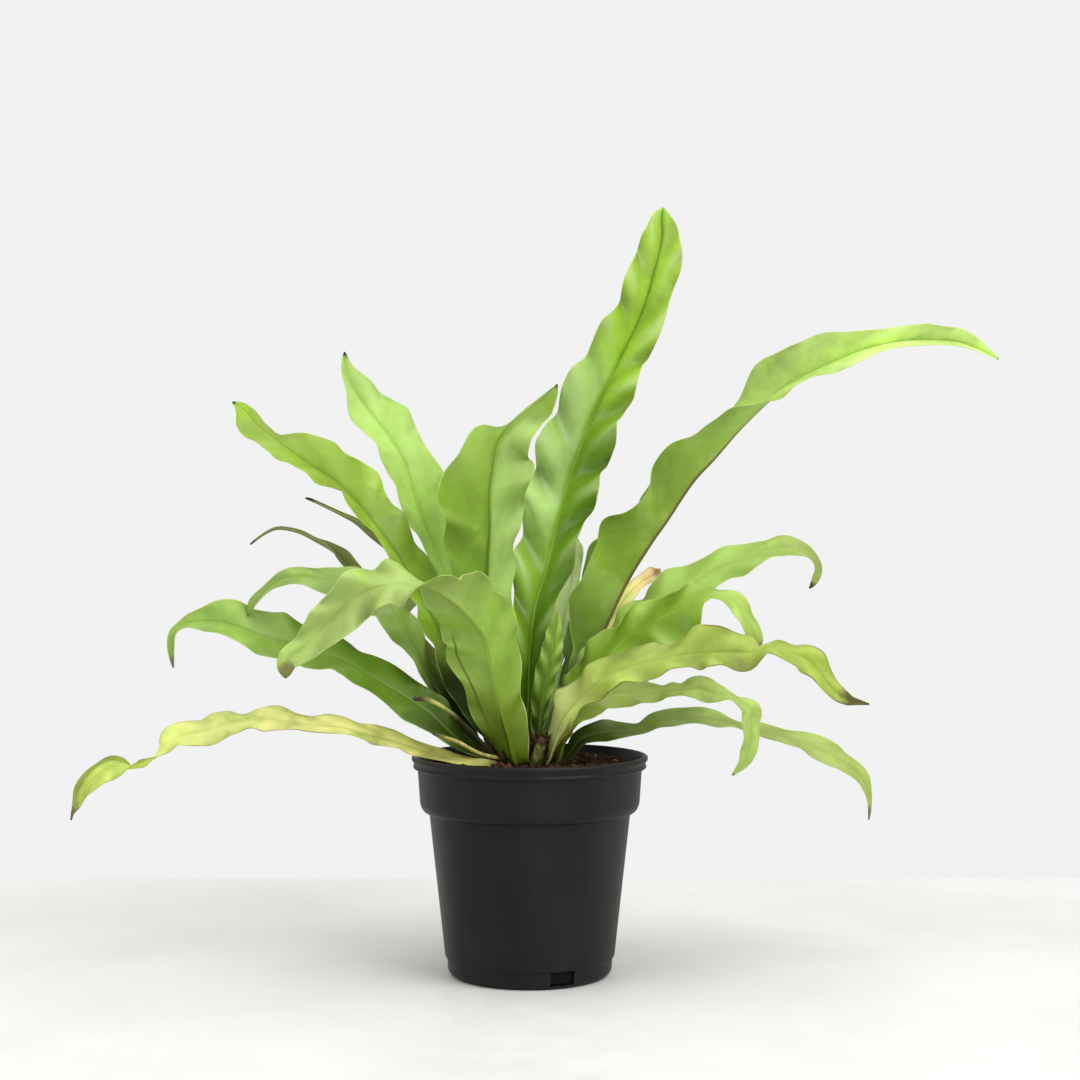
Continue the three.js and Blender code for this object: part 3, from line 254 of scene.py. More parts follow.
LOOKS = {
    "green": {},
    "tall": dict(
        # its midrib: rib a pale painted highlight in the groove low down, rib_far a painted shade in the
        # groove further up
        upper=(142, 182, 46), outer=(168, 202, 70), outer_span=(0.45, 0.9), rib=(156, 192, 80),
        rib_far=(96, 134, 24), far_span=(0.68, 0.8), rib_share=0.9, foot=(92, 130, 6),
        tip=(156, 190, 70),
        # a pale painted sheen on one side of the midrib and painted shade on the other
        halves=((1, 0.33, 0.74, (198, 224, 154), 0.55), (-1, -0.1, 0.64, (92, 138, 8), 0.55)),
        # strong painted shade in the waves' hollows and a pale painted sheen on their crests
        blotch=(158, 196, 66), painted_pleat_light=0.36, crest=(196, 222, 140), shine=0.3, gloss=0.5),
    "long": dict(
        upper=(146, 182, 56), lower=(132, 166, 48), outer=(208, 230, 140),
        outer_span=(0.42, 0.85), keel=(110, 84, 44), keel_far=(150, 176, 74), foot=(88, 122, 14),
        blotch=(160, 188, 86), cover=0.35, tip_length=0.5, painted_pleat_light=0.16),
    "front": dict(
        lower=(128, 166, 38), keel=(78, 106, 18), keel_far=(96, 126, 34), outer=(138, 170, 56),
        # one side of its midrib lightened as a painted sheen
        foot=(98, 134, 6), rim_width=0.7, halves=((1, 0.3, 0.95, (172, 200, 116), 0.7),),
        tip=(92, 80, 44), tip_length=3, painted_pleat_light=0.14),
    "folded": dict(
        lower=(156, 190, 80), upper=(172, 198, 104), keel=(58, 66, 12), keel_far=(150, 172, 72),
        far_span=(0.14, 0.24), rib_width=0.4, outer=(170, 194, 106), rim_width=0.8,
        rim=(196, 214, 132), outer_span=(0.42, 0.55), foot=(120, 148, 30), rib=(190, 212, 128),
        # its line is a painted shade in the crease of its rolled margin
        rib_far=(184, 208, 120), line=(-1, 6.0, 1.0, 0.12, 0.42, (112, 112, 36)),
        tip=(132, 134, 74), tip_length=9, painted_pleat_light=0.14),
    "pale": dict(
        upper=(172, 206, 94), lower=(168, 202, 96), rib=(176, 208, 106), rib_far=(160, 192, 86),
        outer=(172, 202, 108), foot=(138, 174, 58), tip=(70, 60, 40), tip_length=4),
    "arching": dict(
        upper=(134, 168, 38), lower=(142, 172, 58), outer=(146, 176, 48), rib=(100, 136, 28),
        # its dark foot is painted shade on its lower part under the other fronds
        rib_far=(96, 130, 24), rib_share=0.8, foot=(40, 58, 4), foot_to=0.36, foot_full=0.55,
        tip=(60, 50, 36), tip_length=1.8),
    "bent": dict(
        # its dark foot is painted shade on its lower part under the other fronds
        upper=(128, 154, 70), lower=(120, 142, 70), outer=(136, 164, 74), foot=(50, 70, 14),
        foot_to=0.42, foot_full=0.5, rib=(134, 158, 82), keel=(104, 124, 62), rim=(176, 194, 122),
        rim_width=0.8),
    "low": dict(
        upper=(112, 148, 32), outer=(138, 170, 70), outer_span=(0.35, 0.7), rib=(140, 168, 70),
        rib_far=(160, 188, 98), foot=(46, 66, 0), foot_to=0.45, blotch=(150, 180, 76), cover=0.1,
        tip=(124, 132, 92), tip_length=6),
    "dull": dict(
        upper=(124, 140, 70), lower=(134, 144, 84), outer=(150, 150, 92), foot=(60, 78, 22),
        tip=(92, 76, 54), tip_length=5, blotch=(146, 138, 82), cover=0.5),
    "yellow": dict(
        upper=(240, 238, 166), lower=(236, 236, 160), outer=(200, 214, 106), rib=(222, 222, 138),
        rib_far=(200, 214, 104), keel=(196, 192, 106), keel_far=(188, 196, 96),
        blotch=(150, 176, 58), cover=0.55, line=(-1, 1.5, 2.6, 0.8, 0.99, (124, 146, 36)),
        rim=(150, 132, 62), tip=(120, 108, 74), tip_length=9, foot=(228, 226, 134), foot_to=0.36,
        painted_pleat_light=0.2),
    "light": dict(
        upper=(156, 186, 84), lower=(154, 184, 88), outer=(146, 164, 80), outer_span=(0.7, 0.92),
        rib=(160, 188, 98), rib_far=(156, 182, 94), foot=(98, 130, 30), tip=(78, 68, 44),
        tip_length=4, painted_pleat_light=0.14),
    "broad": dict(
        upper=(118, 154, 14), lower=(126, 156, 36), rib=(130, 162, 42), rib_far=(150, 180, 80),
        outer=(162, 190, 82), outer_span=(0.62, 0.8), blotch=(150, 182, 60), cover=0.3,
        foot=(92, 124, 8), tip=(140, 130, 76), tip_length=8, painted_pleat_light=0.22),
    "blotchy": dict(
        upper=(170, 190, 84), lower=(168, 184, 90), outer=(158, 178, 66), rib=(172, 184, 92),
        rib_far=(166, 184, 72), keel=(150, 154, 70), keel_far=(150, 168, 66),
        blotch=(138, 150, 58), cover=0.65, rim=(124, 108, 46), rim_width=1.1, tip=(92, 84, 36),
        tip_length=17, foot=(214, 222, 146), foot_to=0.36, painted_pleat_light=0.2,
        line=(-1, 2.0, 3.0, 0.1, 0.24, (112, 96, 40))),
    "hooked": dict(
        upper=(192, 208, 114), lower=(182, 200, 112), blotch=(174, 190, 104),
        outer=(186, 212, 116), cover=0.4, foot=(166, 176, 78), rib=(190, 206, 118),
        rib_far=(180, 204, 108)),
    "olive": dict(
        upper=(136, 156, 70), lower=(136, 158, 76), outer=(160, 178, 90), outer_span=(0.3, 0.7),
        foot=(78, 96, 24), rib=(140, 160, 82), rib_far=(150, 170, 86), tip=(126, 126, 92),
        tip_length=8),
    "young": dict(
        upper=(128, 166, 50), lower=(120, 156, 48), keel=(104, 134, 42), keel_far=(112, 142, 50),
        rib=(140, 176, 74), blotch=(84, 112, 20), cover=0.45, foot=(60, 84, 10), foot_to=0.5,
        tip_length=1, painted_pleat_light=0.3),
    "veiled": dict(
        upper=(190, 204, 150), lower=(184, 200, 140), outer=(200, 212, 164), foot=(110, 144, 50),
        rib=(190, 206, 148), keel=(170, 190, 120), keel_far=(176, 194, 130),
        blotch=(160, 184, 104), tip=(150, 130, 96), tip_length=2, through=0.45),
    "withered": dict(
        upper=(252, 248, 208), lower=(252, 247, 206), outer=(240, 226, 188),
        outer_span=(0.8, 0.97), rib=(236, 228, 170), keel=(236, 226, 168),
        keel_far=(232, 218, 170), blotch=(232, 236, 160), cover=0.35, rim=(214, 190, 140),
        rim_width=0.25, tip=(214, 184, 150), tip_length=5, foot=(160, 168, 90), through=0.45),
}
# the record's slot of each kind that isn't in frond_green
SLOT_OF = {"yellow": "frond_yellow", "blotchy": "frond_yellow", "withered": "frond_withered",
           "pale": "frond_pale", "dull": "frond_dull"}


# ---- small helpers ----
def shown(rgb):
    """The linear colour behind one that the display shows."""
    return tuple(((c / 255 + 0.055) / 1.055) ** 2.4 if c > 10 else c / 255 / 12.92 for c in rgb)


def smoothstep(x, low, high):
    t = np.clip((x - low) / (high - low), 0, 1)
    return t * t * (3 - 2 * t)


def wander(x, seed, rate):
    """A smooth wandering value from about -1 to 1 along x, different for each seed."""
    draws = random.Random(seed)
    total = np.zeros_like(np.asarray(x, float))
    for k, strength in enumerate((0.5, 0.32, 0.24, 0.16)):
        turn = rate * (0.6 + 0.55 * k) * x + draws.random()
        total += np.sin(FULL_TURN * turn) * strength
    return total


def new_object(name, points, faces, material, smooth=True):
    """A mesh object from millimetre points."""
    mesh = bpy.data.meshes.new(name)
    mesh.from_pydata((np.asarray(points, float) * MM).tolist(), [], faces)
    mesh.validate()
    mesh.polygons.foreach_set("use_smooth", [smooth] * len(mesh.polygons))
    piece = bpy.data.objects.new(name, mesh)
    bpy.context.scene.collection.objects.link(piece)
    mesh.materials.append(material)
    return piece


def place(piece, slot, *nodes):
    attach(piece, "root")
    if nodes:
        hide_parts(*nodes)


def vectors(*parts):
    """Rows of three from grids of numbers, where a plain number serves every row."""
    return np.stack(np.broadcast_arrays(*parts), axis=-1).reshape(-1, 3)


def add_vectors(piece, name, values):
    attribute = piece.data.attributes.new(name, "FLOAT_VECTOR", "POINT")
    attribute.data.foreach_set("vector", np.asarray(values, np.float32).ravel())


# ---- materials ----
class Graph:
    """A node material, written from its inputs to its shader."""

    def __init__(self, name):
        self.material = bpy.data.materials.new(name)
        self.material.use_nodes = True
        self.tree = self.material.node_tree
        self.tree.nodes.clear()
        self.place = self.node("ShaderNodeTexCoord").outputs["Object"]

    def node(self, kind, **settings):
        made = self.tree.nodes.new(kind)
        for key, value in settings.items():
            setattr(made, key, value)
        return made

    def feed(self, socket, value):
        if isinstance(value, bpy.types.NodeSocket):
            self.tree.links.new(value, socket)
        elif isinstance(value, tuple) and len(value) == 3 and socket.type == "RGBA":
            socket.default_value = (*value, 1)
        else:
            socket.default_value = value

    def feed_all(self, made, **inputs):
        for name, value in inputs.items():
            self.feed(made.inputs[name.replace("_", " ")], value)
        return made.outputs

    def math(self, operation, a, b=0.0):
        made = self.node("ShaderNodeMath", operation=operation)
        self.feed(made.inputs[0], a)
        self.feed(made.inputs[1], b)
        return made.outputs[0]

    def plus(self, a, b):
        return self.math("ADD", a, b)

    def times(self, a, b):
        return self.math("MULTIPLY", a, b)

    def map(self, value, low, high, to_low=0.0, to_high=1.0):
        """The value's smooth way from low to high, as one from to_low to to_high."""
        made = self.node("ShaderNodeMapRange", interpolation_type="SMOOTHSTEP")
        for socket, v in zip(made.inputs, (value, low, high, to_low, to_high)):
            self.feed(socket, v)
        return made.outputs[0]

    def mix(self, share, a, b):
        made = self.node("ShaderNodeMix", data_type="RGBA")
        for socket, v in zip((made.inputs[0], made.inputs[6], made.inputs[7]), (share, a, b)):
            self.feed(socket, v)
        return made.outputs[2]

    def tint(self, colour, share, rgb):
        return self.mix(share, colour, shown(rgb))

    def noise(self, scale, detail, roughness=0.55, vector=None):
        return self.feed_all(self.node("ShaderNodeTexNoise"), Vector=vector or self.place,
                             Scale=scale, Detail=detail, Roughness=roughness)["Fac"]

    def stretched(self, x, y, z):
        return self.feed_all(self.node("ShaderNodeMapping"), Vector=self.place,
                             Scale=(x, y, z))[0]

    def cells(self, scale):
        return self.feed_all(self.node("ShaderNodeTexVoronoi"), Vector=self.place,
                             Scale=scale)["Distance"]

    def brighter(self, colour, value, saturation=1.0):
        return self.feed_all(self.node("ShaderNodeHueSaturation"), Color=colour, Value=value,
                             Saturation=saturation)[0]

    def apart(self, vector):
        """A vector's three numbers."""
        return self.feed_all(self.node("ShaderNodeSeparateXYZ"), Vector=vector)

    def attribute(self, name):
        made = self.node("ShaderNodeAttribute", attribute_name=name)
        return self.apart(made.outputs["Vector"])

    def bump(self, height, distance, strength):
        return self.feed_all(self.node("ShaderNodeBump"), Height=height, Distance=distance,
                             Strength=strength)[0]

    def finish(self, colour, roughness, normal, specular, through=0.0, lit=None):
        """The shader: through is the share of light let through, and lit that light's colour."""
        made = self.feed_all(self.node("ShaderNodeBsdfPrincipled"), Base_Color=colour,
                             Roughness=roughness, Normal=normal, Specular_IOR_Level=specular)
        surface = made[0]
        if through:
            light = self.feed_all(self.node("ShaderNodeBsdfTranslucent"), Color=lit,
                                  Normal=normal)
            blend = self.node("ShaderNodeMixShader")
            for socket, v in zip(blend.inputs, (through, surface, light[0])):
                self.feed(socket, v)
            surface = blend.outputs[0]
        self.feed_all(self.node("ShaderNodeOutputMaterial"), Surface=surface)
        return self.material


VEIN_SLANT = 0.6  # how far the side veins run forward on their way out
VEIN_RATE = 3.4  # radians a millimetre
SPECK = (112, 100, 44)


class Leaf(Graph):
    """The material of one kind of frond, laid in layers from its ground to its dried tip."""

    def __init__(self, kind):
        super().__init__("leaf_" + kind)
        self.look = {**LOOK, **LOOKS[kind]}
        self.run, self.across, self.edge = self.attribute("leaf_run")     # millimetres
        self.share, self.under, self.to_tip = self.attribute("leaf_age")  # 0 to 1, 0 or 1, mm
        self.crest = self.attribute("leaf_wave")[0]                       # -1 to 1
        self.away = self.math("ABSOLUTE", self.across)
        self.fine = self.noise(160, 3)
        ahead = self.math("SUBTRACT", self.run, self.times(self.away, VEIN_SLANT))
        self.veins = self.math("SINE", self.times(ahead, VEIN_RATE))

    def within(self, first, last, soft_first, soft_last):
        """1 between two shares of the length and 0 beyond them, with soft ends."""
        return self.times(self.map(self.share, first, first + soft_first),
                          self.map(self.share, last, last - soft_last))

    def ground(self):
        """The two faces, their outer part, the patches, the foot, on most kinds a painted shade, and the
        painted light and shade on one side of the midrib.
        """
        look = self.look
        colour = self.mix(self.under, shown(look["upper"]), shown(look["lower"]))
        colour = self.tint(colour, self.map(self.share, *look["outer_span"]), look["outer"])
        cover = look["cover"]
        patches = self.map(self.noise(34, 5, 0.6), 0.62 - 0.3 * cover, 0.72 - 0.1 * cover)
        colour = self.tint(colour, self.times(patches, 0.75), look["blotch"])
        # the foot: on most kinds a painted shade where the fronds' bases crowd near the crown
        at_foot = self.map(self.share, look["foot_to"], look["foot_full"] * look["foot_to"])
        colour = self.tint(colour, at_foot, look["foot"])
        # painted light on one side of the midrib: a lighter side as a painted sheen, a darker one as
        # painted shade
        for side, first, last, tint, strength in look["halves"]:
            on_painted_half = self.times(self.map(self.times(self.across, side), 0.0, 4.0),
                                 self.within(first, last, 0.1, 0.1))
            colour = self.tint(colour, self.times(on_painted_half, strength), tint)
        return colour

    def waves(self, colour):
        """Clouds, veins and the waves' painted light: painted shade in their hollows and a pale painted
        sheen on their crests.
        """
        painted_pleat_light = self.look["painted_pleat_light"]
        tone = self.plus(self.map(self.noise(22, 4), 0.3, 0.7, 0.84, 1.14),
                         self.times(self.veins, 0.008))
        tone = self.plus(tone, self.map(self.fine, 0.3, 0.7, -0.05, 0.05))
        # painted shade in the waves' hollows, a little lighter on their crests
        tone = self.plus(tone, self.times(self.math("MINIMUM", self.crest, 0.15), 1.3 * painted_pleat_light))
        # a pale painted sheen on the waves' crests
        sheen_on_crest = self.map(self.crest, 0.1, 0.9, 0.0, 1.6 * painted_pleat_light)
        return self.tint(self.brighter(colour, tone), sheen_on_crest, self.look["crest"])

    def midrib(self, colour):
        look = self.look
        far = self.map(self.share, *look["far_span"])
        ribs = self.mix(self.under, self.mix(far, shown(look["rib"]), shown(look["rib_far"])),
                        self.mix(far, shown(look["keel"]), shown(look["keel_far"])))
        broad = look["rib_width"]
        width = self.times(self.map(self.share, 0.0, 1.0, 0.85 * broad, 0.4 * broad),
                           self.map(self.under, 0, 1, 1.0, 0.75))
        on_rib = self.map(self.math("DIVIDE", self.away, width), 1.15, 0.55)
        strength = self.map(self.under, 0, 1, look["rib_share"], 0.8)
        return self.mix(self.times(on_rib, strength), colour, ribs)

    def streak(self, colour):
        """The thin streak beside a margin, on the kinds that have one: on the folded kind a painted
        shade in the crease of its rolled margin, on the others the margin's own colour.
        """
        if not self.look["line"]:
            return colour
        side, inset, half_width, first, last, tint = self.look["line"]
        beside = self.math("ABSOLUTE", self.math("SUBTRACT", self.edge, inset))
        on_line = self.times(self.map(beside, half_width, 0.4 * half_width),
                             self.map(self.times(self.across, side), 0.0, 0.5))
        on_line = self.times(on_line, self.within(first, last, 0.04, 0.06))
        return self.tint(colour, self.times(on_line, 0.8), tint)

    def margin(self, colour):
        """The margin's line, which comes and goes."""
        broken = self.map(self.noise(60, 2), 0.42, 0.58, 0.25, 1.0)
        on_rim = self.map(self.edge, self.look["rim_width"], 0.1)
        return self.tint(colour, self.times(on_rim, broken), self.look["rim"])

    def specks(self, colour):
        """Dried specks, in groups."""
        sparse = self.map(self.noise(45, 2), 0.35, 0.75, 0.6, 0.0)
        on_speck = self.map(self.plus(self.cells(260), sparse), 0.16, 0.08)
        return self.tint(colour, self.times(on_speck, 0.6), SPECK)

    def complete(self):
        look = self.look
        colour = self.ground()
        for layer in (self.waves, self.midrib, self.streak, self.margin, self.specks):
            colour = layer(colour)
        # the dried tip has a ragged start
        length = look["tip_length"]
        ragged = self.map(self.noise(120, 3), 0.2, 0.8, -0.35 * length, 0.35 * length)
        on_tip = self.map(self.plus(self.to_tip, ragged), 1.1 * length, 0.5 * length)
        colour = self.tint(colour, on_tip, look["tip"])
        height = self.plus(self.times(self.veins, 0.06), self.times(self.fine, 0.8))
        rough = self.plus(self.map(self.fine, 0.2, 0.8, look["shine"], look["shine"] + 0.14),
                          self.times(on_tip, 0.3))
        lit = self.brighter(colour, self.plus(1.35, self.times(on_tip, -0.6)), 1.05)
        return self.finish(colour, rough, self.bump(height, 0.0004, 0.35), look["gloss"],
                           look["through"], lit)


def plastic_material():
    """Matt black plastic with faint vertical streaking, tinted a little lighter as a painted sheen,
    grain and a few scuffs.
    """
    g = Graph("pot_plastic_satin")
    streaks_and_sheen = g.noise(30, 4, 0.6, g.stretched(1, 1, 0.12))
    grain = g.noise(2600, 2)
    scuffs = g.map(g.noise(240, 5, 0.7), 0.66, 0.8)
    colour = g.mix(g.map(g.noise(14, 4), 0.3, 0.7), shown((20, 20, 20)), shown((26, 26, 26)))
    # the streaking is tinted lighter as a painted vertical sheen
    colour = g.tint(colour, g.times(g.map(streaks_and_sheen, 0.45, 0.75), 0.25), (52, 52, 51))
    colour = g.tint(colour, g.times(scuffs, 0.35), (84, 82, 76))
    rough = g.plus(g.map(streaks_and_sheen, 0.25, 0.75, 0.36, 0.5), g.times(scuffs, 0.15))
    height = g.plus(g.times(grain, 0.4), g.times(streaks_and_sheen, 1.2))
    return g.finish(colour, rough, g.bump(height, 0.0003, 0.35), 0.15)


# dark and light colour, and how fine the pattern is
EARTHS = {
    "mix_earth": ((34, 18, 13), (74, 44, 30), 260),
    "mix_crumb": ((40, 22, 15), (88, 54, 36), 420),
    "mix_bark": ((58, 32, 20), (112, 70, 44), 300),
    "mix_grit": ((176, 164, 146), (222, 214, 200), 500),
    "mix_fibre": ((86, 54, 34), (136, 96, 62), 500),
    "crown_bark": ((44, 28, 16), (92, 66, 38), 240),
    "crown_scale": ((66, 44, 24), (138, 106, 64), 320),
}


def earth_material(name):
    """Something crumbly, lighter at each crumb's middle with painted shade between the crumbs, and
    darkened low down in the pot as painted shade inside it.
    """
    dark, light, scale = EARTHS[name]
    g = Graph(name)
    cloud = g.noise(scale, 6, 0.65)
    crumbs = g.cells(scale * 6)
    colour = g.mix(g.map(cloud, 0.32, 0.68), shown(dark), shown(light))
    # painted shade between the crumbs
    colour = g.brighter(colour, g.map(crumbs, 0.0, 0.7, 1.25, 0.6))
    # painted shade low down in the pot, so that the mix seen through the drain slots looks black
    colour = g.brighter(colour, g.map(g.apart(g.place)[2], 0.015, 0.04, 0.1, 1.0))
    height = g.plus(g.noise(scale * 8, 5, 0.7), g.times(crumbs, 0.7))
    return g.finish(colour, g.map(cloud, 0.2, 0.8, 0.82, 0.98), g.bump(height, 0.0012, 0.8), 0.3)


def stalk_material(name, dark, light, tip, dark_to):
    """Dry fibres, darkened up to a share of the stalk's length."""
    g = Graph(name)
    run = g.attribute("leaf_run")[0]
    share = g.attribute("leaf_age")[0]
    fibres = g.noise(420, 4, 0.6, g.stretched(1, 1, 0.25))
    colour = g.mix(g.map(fibres, 0.35, 0.65), shown(dark), shown(light))
    colour = g.tint(colour, g.map(share, 0.82, 0.97), tip)
    colour = g.tint(colour, g.map(share, dark_to, 0.75 * dark_to), (46, 44, 18))
    height = g.plus(fibres, g.times(g.math("SINE", g.times(run, 4.0)), 0.05))
    return g.finish(colour, g.map(fibres, 0.2, 0.8, 0.6, 0.85), g.bump(height, 0.0005, 0.6), 0.35)


# ---- a frond ----
STEPS_A_SPAN = 60  # for measuring the route between two of its points
NEARBY = 0.002  # of such a span, for its direction
SECTION_STEP = 1.8  # millimetres, as all lengths here
RIB_COLUMNS = np.array((0, 0.55, 1.1, 1.7, 2.7))  # distances from the midrib
FULL_RIB_HALF_WIDTH = 6.0  # a narrower blade has its midrib scaled down
BLADE_COLUMNS = 8  # from the last of those to the margin
EDGE_STRIP = 0.4  # the width of the last column
EDGE_STRIP_SHARE = 0.1  # or this share of the half width, where that is less
LEAST_HALF_WIDTH = 0.5
TIP_ROUNDING = 4.5
BLADE_THICKNESS = 0.42
MARGIN_THICKNESS = 0.55  # of the blade's
KEEL_SHOWN = 0.55  # of the keel's depth in the frame
KEEL_REACH = 0.7
LEAST_KEEL_REACH = 0.2
KEEL_POWER = 2.2
LEAST_KEEL = 0.3  # of its depth, where the blade is very narrow
GROOVE_DEPTH = 0.55
GROOVE_REACH = 0.9
BULGE = 0.35  # how much a folded half is arched

SLANT = 0.4  # of a wave, how far it runs ahead at the midrib
DRIFT = 0.16  # of a wave, how far the waves wander along the blade
DRIFT_RATE = 2.2
SWELL = 0.85  # how deep they are on the whole, and how much that varies
SWELL_RANGE = 0.4
SWELL_RATE = 3
FINE_WAVE = 0.25  # finer waves at the margin, as a share of the others
FINE_RATE = 2.37
FINE_SHIFT = 0.3  # of a finer wave, forward on one side and back on the other
UNEVEN = 0.05  # of the half width
UNEVEN_RATE = 5
LOBES = 0.07  # how much the margin swings in and out, of the half width
LOBE_SHIFT = 0.2
OUTER_RUFFLE_SPAN = (0.58, 0.68)


def row_at(rows, t):
    """The row of numbers at places t of a smooth curve through the rows."""
    rows = np.asarray(rows, float)
    padded = np.vstack([2 * rows[0] - rows[1], rows, 2 * rows[-1] - rows[-2]])
    t = np.asarray(t, float)
    i = np.minimum(t.astype(int), len(rows) - 2)
    w = (t - i)[:, None]
    a, b, c, d = (padded[i + k] for k in range(4))
    slope_in, slope_out = (c - a) / 2, (d - b) / 2
    return ((2 * b - 2 * c + slope_in + slope_out) * w ** 3
            + (3 * c - 3 * b - 2 * slope_in - slope_out) * w ** 2 + slope_in * w + b)


def from_inside(route):
    """The route with a first row of its own inside the crown."""
    start = np.array(route[0][:3], float)
    inside = CROWN + BURIED_START * (start - CROWN)
    return np.array([(*inside, *route[0][3:]), *route], float)


def sections_of(spec):
    """Evenly spaced places along the route, with the ways across and up there."""
    rows = from_inside(spec["route"])
    spans = len(rows) - 1
    t = np.linspace(0, spans, spans * STEPS_A_SPAN + 1)
    steps = np.linalg.norm(np.diff(row_at(rows, t)[:, :3], axis=0), axis=1)
    travelled = np.concatenate([[0], np.cumsum(steps)])
    run = np.linspace(0, travelled[-1], int(travelled[-1] / SECTION_STEP) + 1)
    where = np.interp(run, travelled, t)
    row = row_at(rows, where)
    ahead = row_at(rows, np.minimum(where + NEARBY, spans))[:, :3]
    behind = row_at(rows, np.maximum(where - NEARBY, 0))[:, :3]
    along = ahead - behind
    along /= np.linalg.norm(along, axis=1)[:, None]
    lean = math.radians(spec["lean"])
    flat = np.array((-math.sin(lean), math.cos(lean), 0))
    across = flat - along * (along @ flat)[:, None]
    across /= np.linalg.norm(across, axis=1)[:, None]
    roll = np.radians(row[:, 4])[:, None]
    across = across * np.cos(roll) + np.cross(along, across) * np.sin(roll)
    return run, row[:, :3], row[:, 3], np.radians(row[:, 5]), across, np.cross(along, across)


def blade_columns(half):
    """Each section's distances from the midrib, and how much of its full size that has."""
    full = np.minimum(1, half / FULL_RIB_HALF_WIDTH)
    strip = np.minimum(EDGE_STRIP, EDGE_STRIP_SHARE * half)
    inner = RIB_COLUMNS * full
    start = inner[:, -1:]
    outer = start + (half - strip - start) * np.linspace(0, 1, BLADE_COLUMNS + 1)[1:]
    right = np.hstack([inner, outer, half])
    return np.hstack([-right[:, :0:-1], right]), full


def blade_waves(spec, index, u, side, a, half):
    """The waves' height, how far they widen the blade, and their crests."""
    seed = 11 * index + 3

    def each_side(right, left, rate):
        return np.where(side < 0, wander(u, seed + right, rate), wander(u, seed + left, rate))

    fade = np.minimum(1, u / FLAT_AT_BASE) * np.minimum(1, (1 - u) / FLAT_AT_TIP)
    turn = spec["waves"] * u + index * PHASE_STEP + np.where(side < 0, 0.0, MARGIN_LAG)
    turn += spec.get("slant", SLANT) * (1 - a) + DRIFT * each_side(0, 5, DRIFT_RATE)
    ruffle = spec["ruffle"]
    ruffle += (spec.get("outer_ruffle", ruffle) - ruffle) * smoothstep(u, *OUTER_RUFFLE_SPAN)
    depth = ruffle * half * fade * (SWELL + SWELL_RANGE * each_side(1, 6, SWELL_RATE))
    main = np.sin(FULL_TURN * turn)
    finer = np.sin(FULL_TURN * (FINE_RATE * turn + FINE_SHIFT * side))
    wave = depth * a * main + FINE_WAVE * depth * a ** 3 * finer
    wave += UNEVEN * half * fade * a * wander(u, seed + 2, UNEVEN_RATE)
    lobes = LOBES * fade * a ** 4 * np.sin(FULL_TURN * (turn + LOBE_SHIFT))
    return wave, lobes, a * main * fade


def blade_faces(rows, columns):
    """The faces of the upper grid, the lower one and the four rims between them."""
    lower = rows * columns
    grid = np.arange(lower).reshape(rows, columns)

    def quads(*corners):
        return np.stack(corners, axis=-1).reshape(-1, 4)

    upper_faces = quads(grid[1:, :-1], grid[1:, 1:], grid[:-1, 1:], grid[:-1, :-1])
    # turned so that both faces of a twisted patch are split along the same diagonal
    lower_faces = np.roll(upper_faces[:, ::-1], -1, axis=1) + lower
    rims = [quads(line[:-1], line[1:], line[1:] + lower, line[:-1] + lower)
            for line in (grid[::-1, 0], grid[:, -1], grid[0], grid[-1, ::-1])]
    return np.vstack([upper_faces, lower_faces, *rims]).tolist()


def frond(name, spec, index, material):
    run, at, half, fold, across, up = (grid if grid.ndim == 2 else grid[:, None]
                                       for grid in sections_of(spec))
    to_tip = run[-1] - run
    past = np.clip(1 - to_tip / TIP_ROUNDING, 0, 1)
    half = np.maximum(half * np.sqrt(1 - past ** 2), LEAST_HALF_WIDTH)
    distance, full = blade_columns(half)
    a = np.abs(distance) / half
    u = np.repeat(run / run[-1], distance.shape[1], axis=1)
    wave, lobes, crest = blade_waves(spec, index, u, np.sign(distance), a, half)
    out = distance * np.cos(fold) * (1 + lobes)
    rise = half * np.sin(fold) * a * (1 + BULGE - BULGE * a)
    groove = GROOVE_DEPTH * full * np.exp(-(distance / (GROOVE_REACH * full)) ** 2)
    height = rise + wave - groove
    top = at[:, None] + across[:, None] * out[..., None] + up[:, None] * height[..., None]
    # the lower face lies under the upper one, with the keel along its middle
    normal = np.cross(np.gradient(top, axis=0), np.gradient(top, axis=1))
    normal /= np.maximum(np.linalg.norm(normal, axis=2), 1e-9)[..., None]
    reach = KEEL_REACH * full + LEAST_KEEL_REACH
    keel = KEEL_SHOWN * (KEEL_AT_BASE + (KEEL_AT_TIP - KEEL_AT_BASE) * u)
    keel *= np.exp(-np.abs(distance / reach) ** KEEL_POWER) * np.minimum(1, LEAST_KEEL + full)
    thick = BLADE_THICKNESS * (MARGIN_THICKNESS + (1 - MARGIN_THICKNESS) * (1 - a ** 6)) + keel
    low = top - normal * thick[..., None]
    points = np.vstack([top.reshape(-1, 3), low.reshape(-1, 3)])
    piece = new_object(name, points, blade_faces(*distance.shape), material)
    runs = vectors(run, distance, half - np.abs(distance))
    ages = vectors(u, 0.0, to_tip)
    crests = vectors(crest, 0.0, 0.0)
    add_vectors(piece, "leaf_run", np.vstack([runs, runs]))
    add_vectors(piece, "leaf_age", np.vstack([ages, ages + (0, 1, 0)]))
    add_vectors(piece, "leaf_wave", np.vstack([crests, -crests]))
    return piece


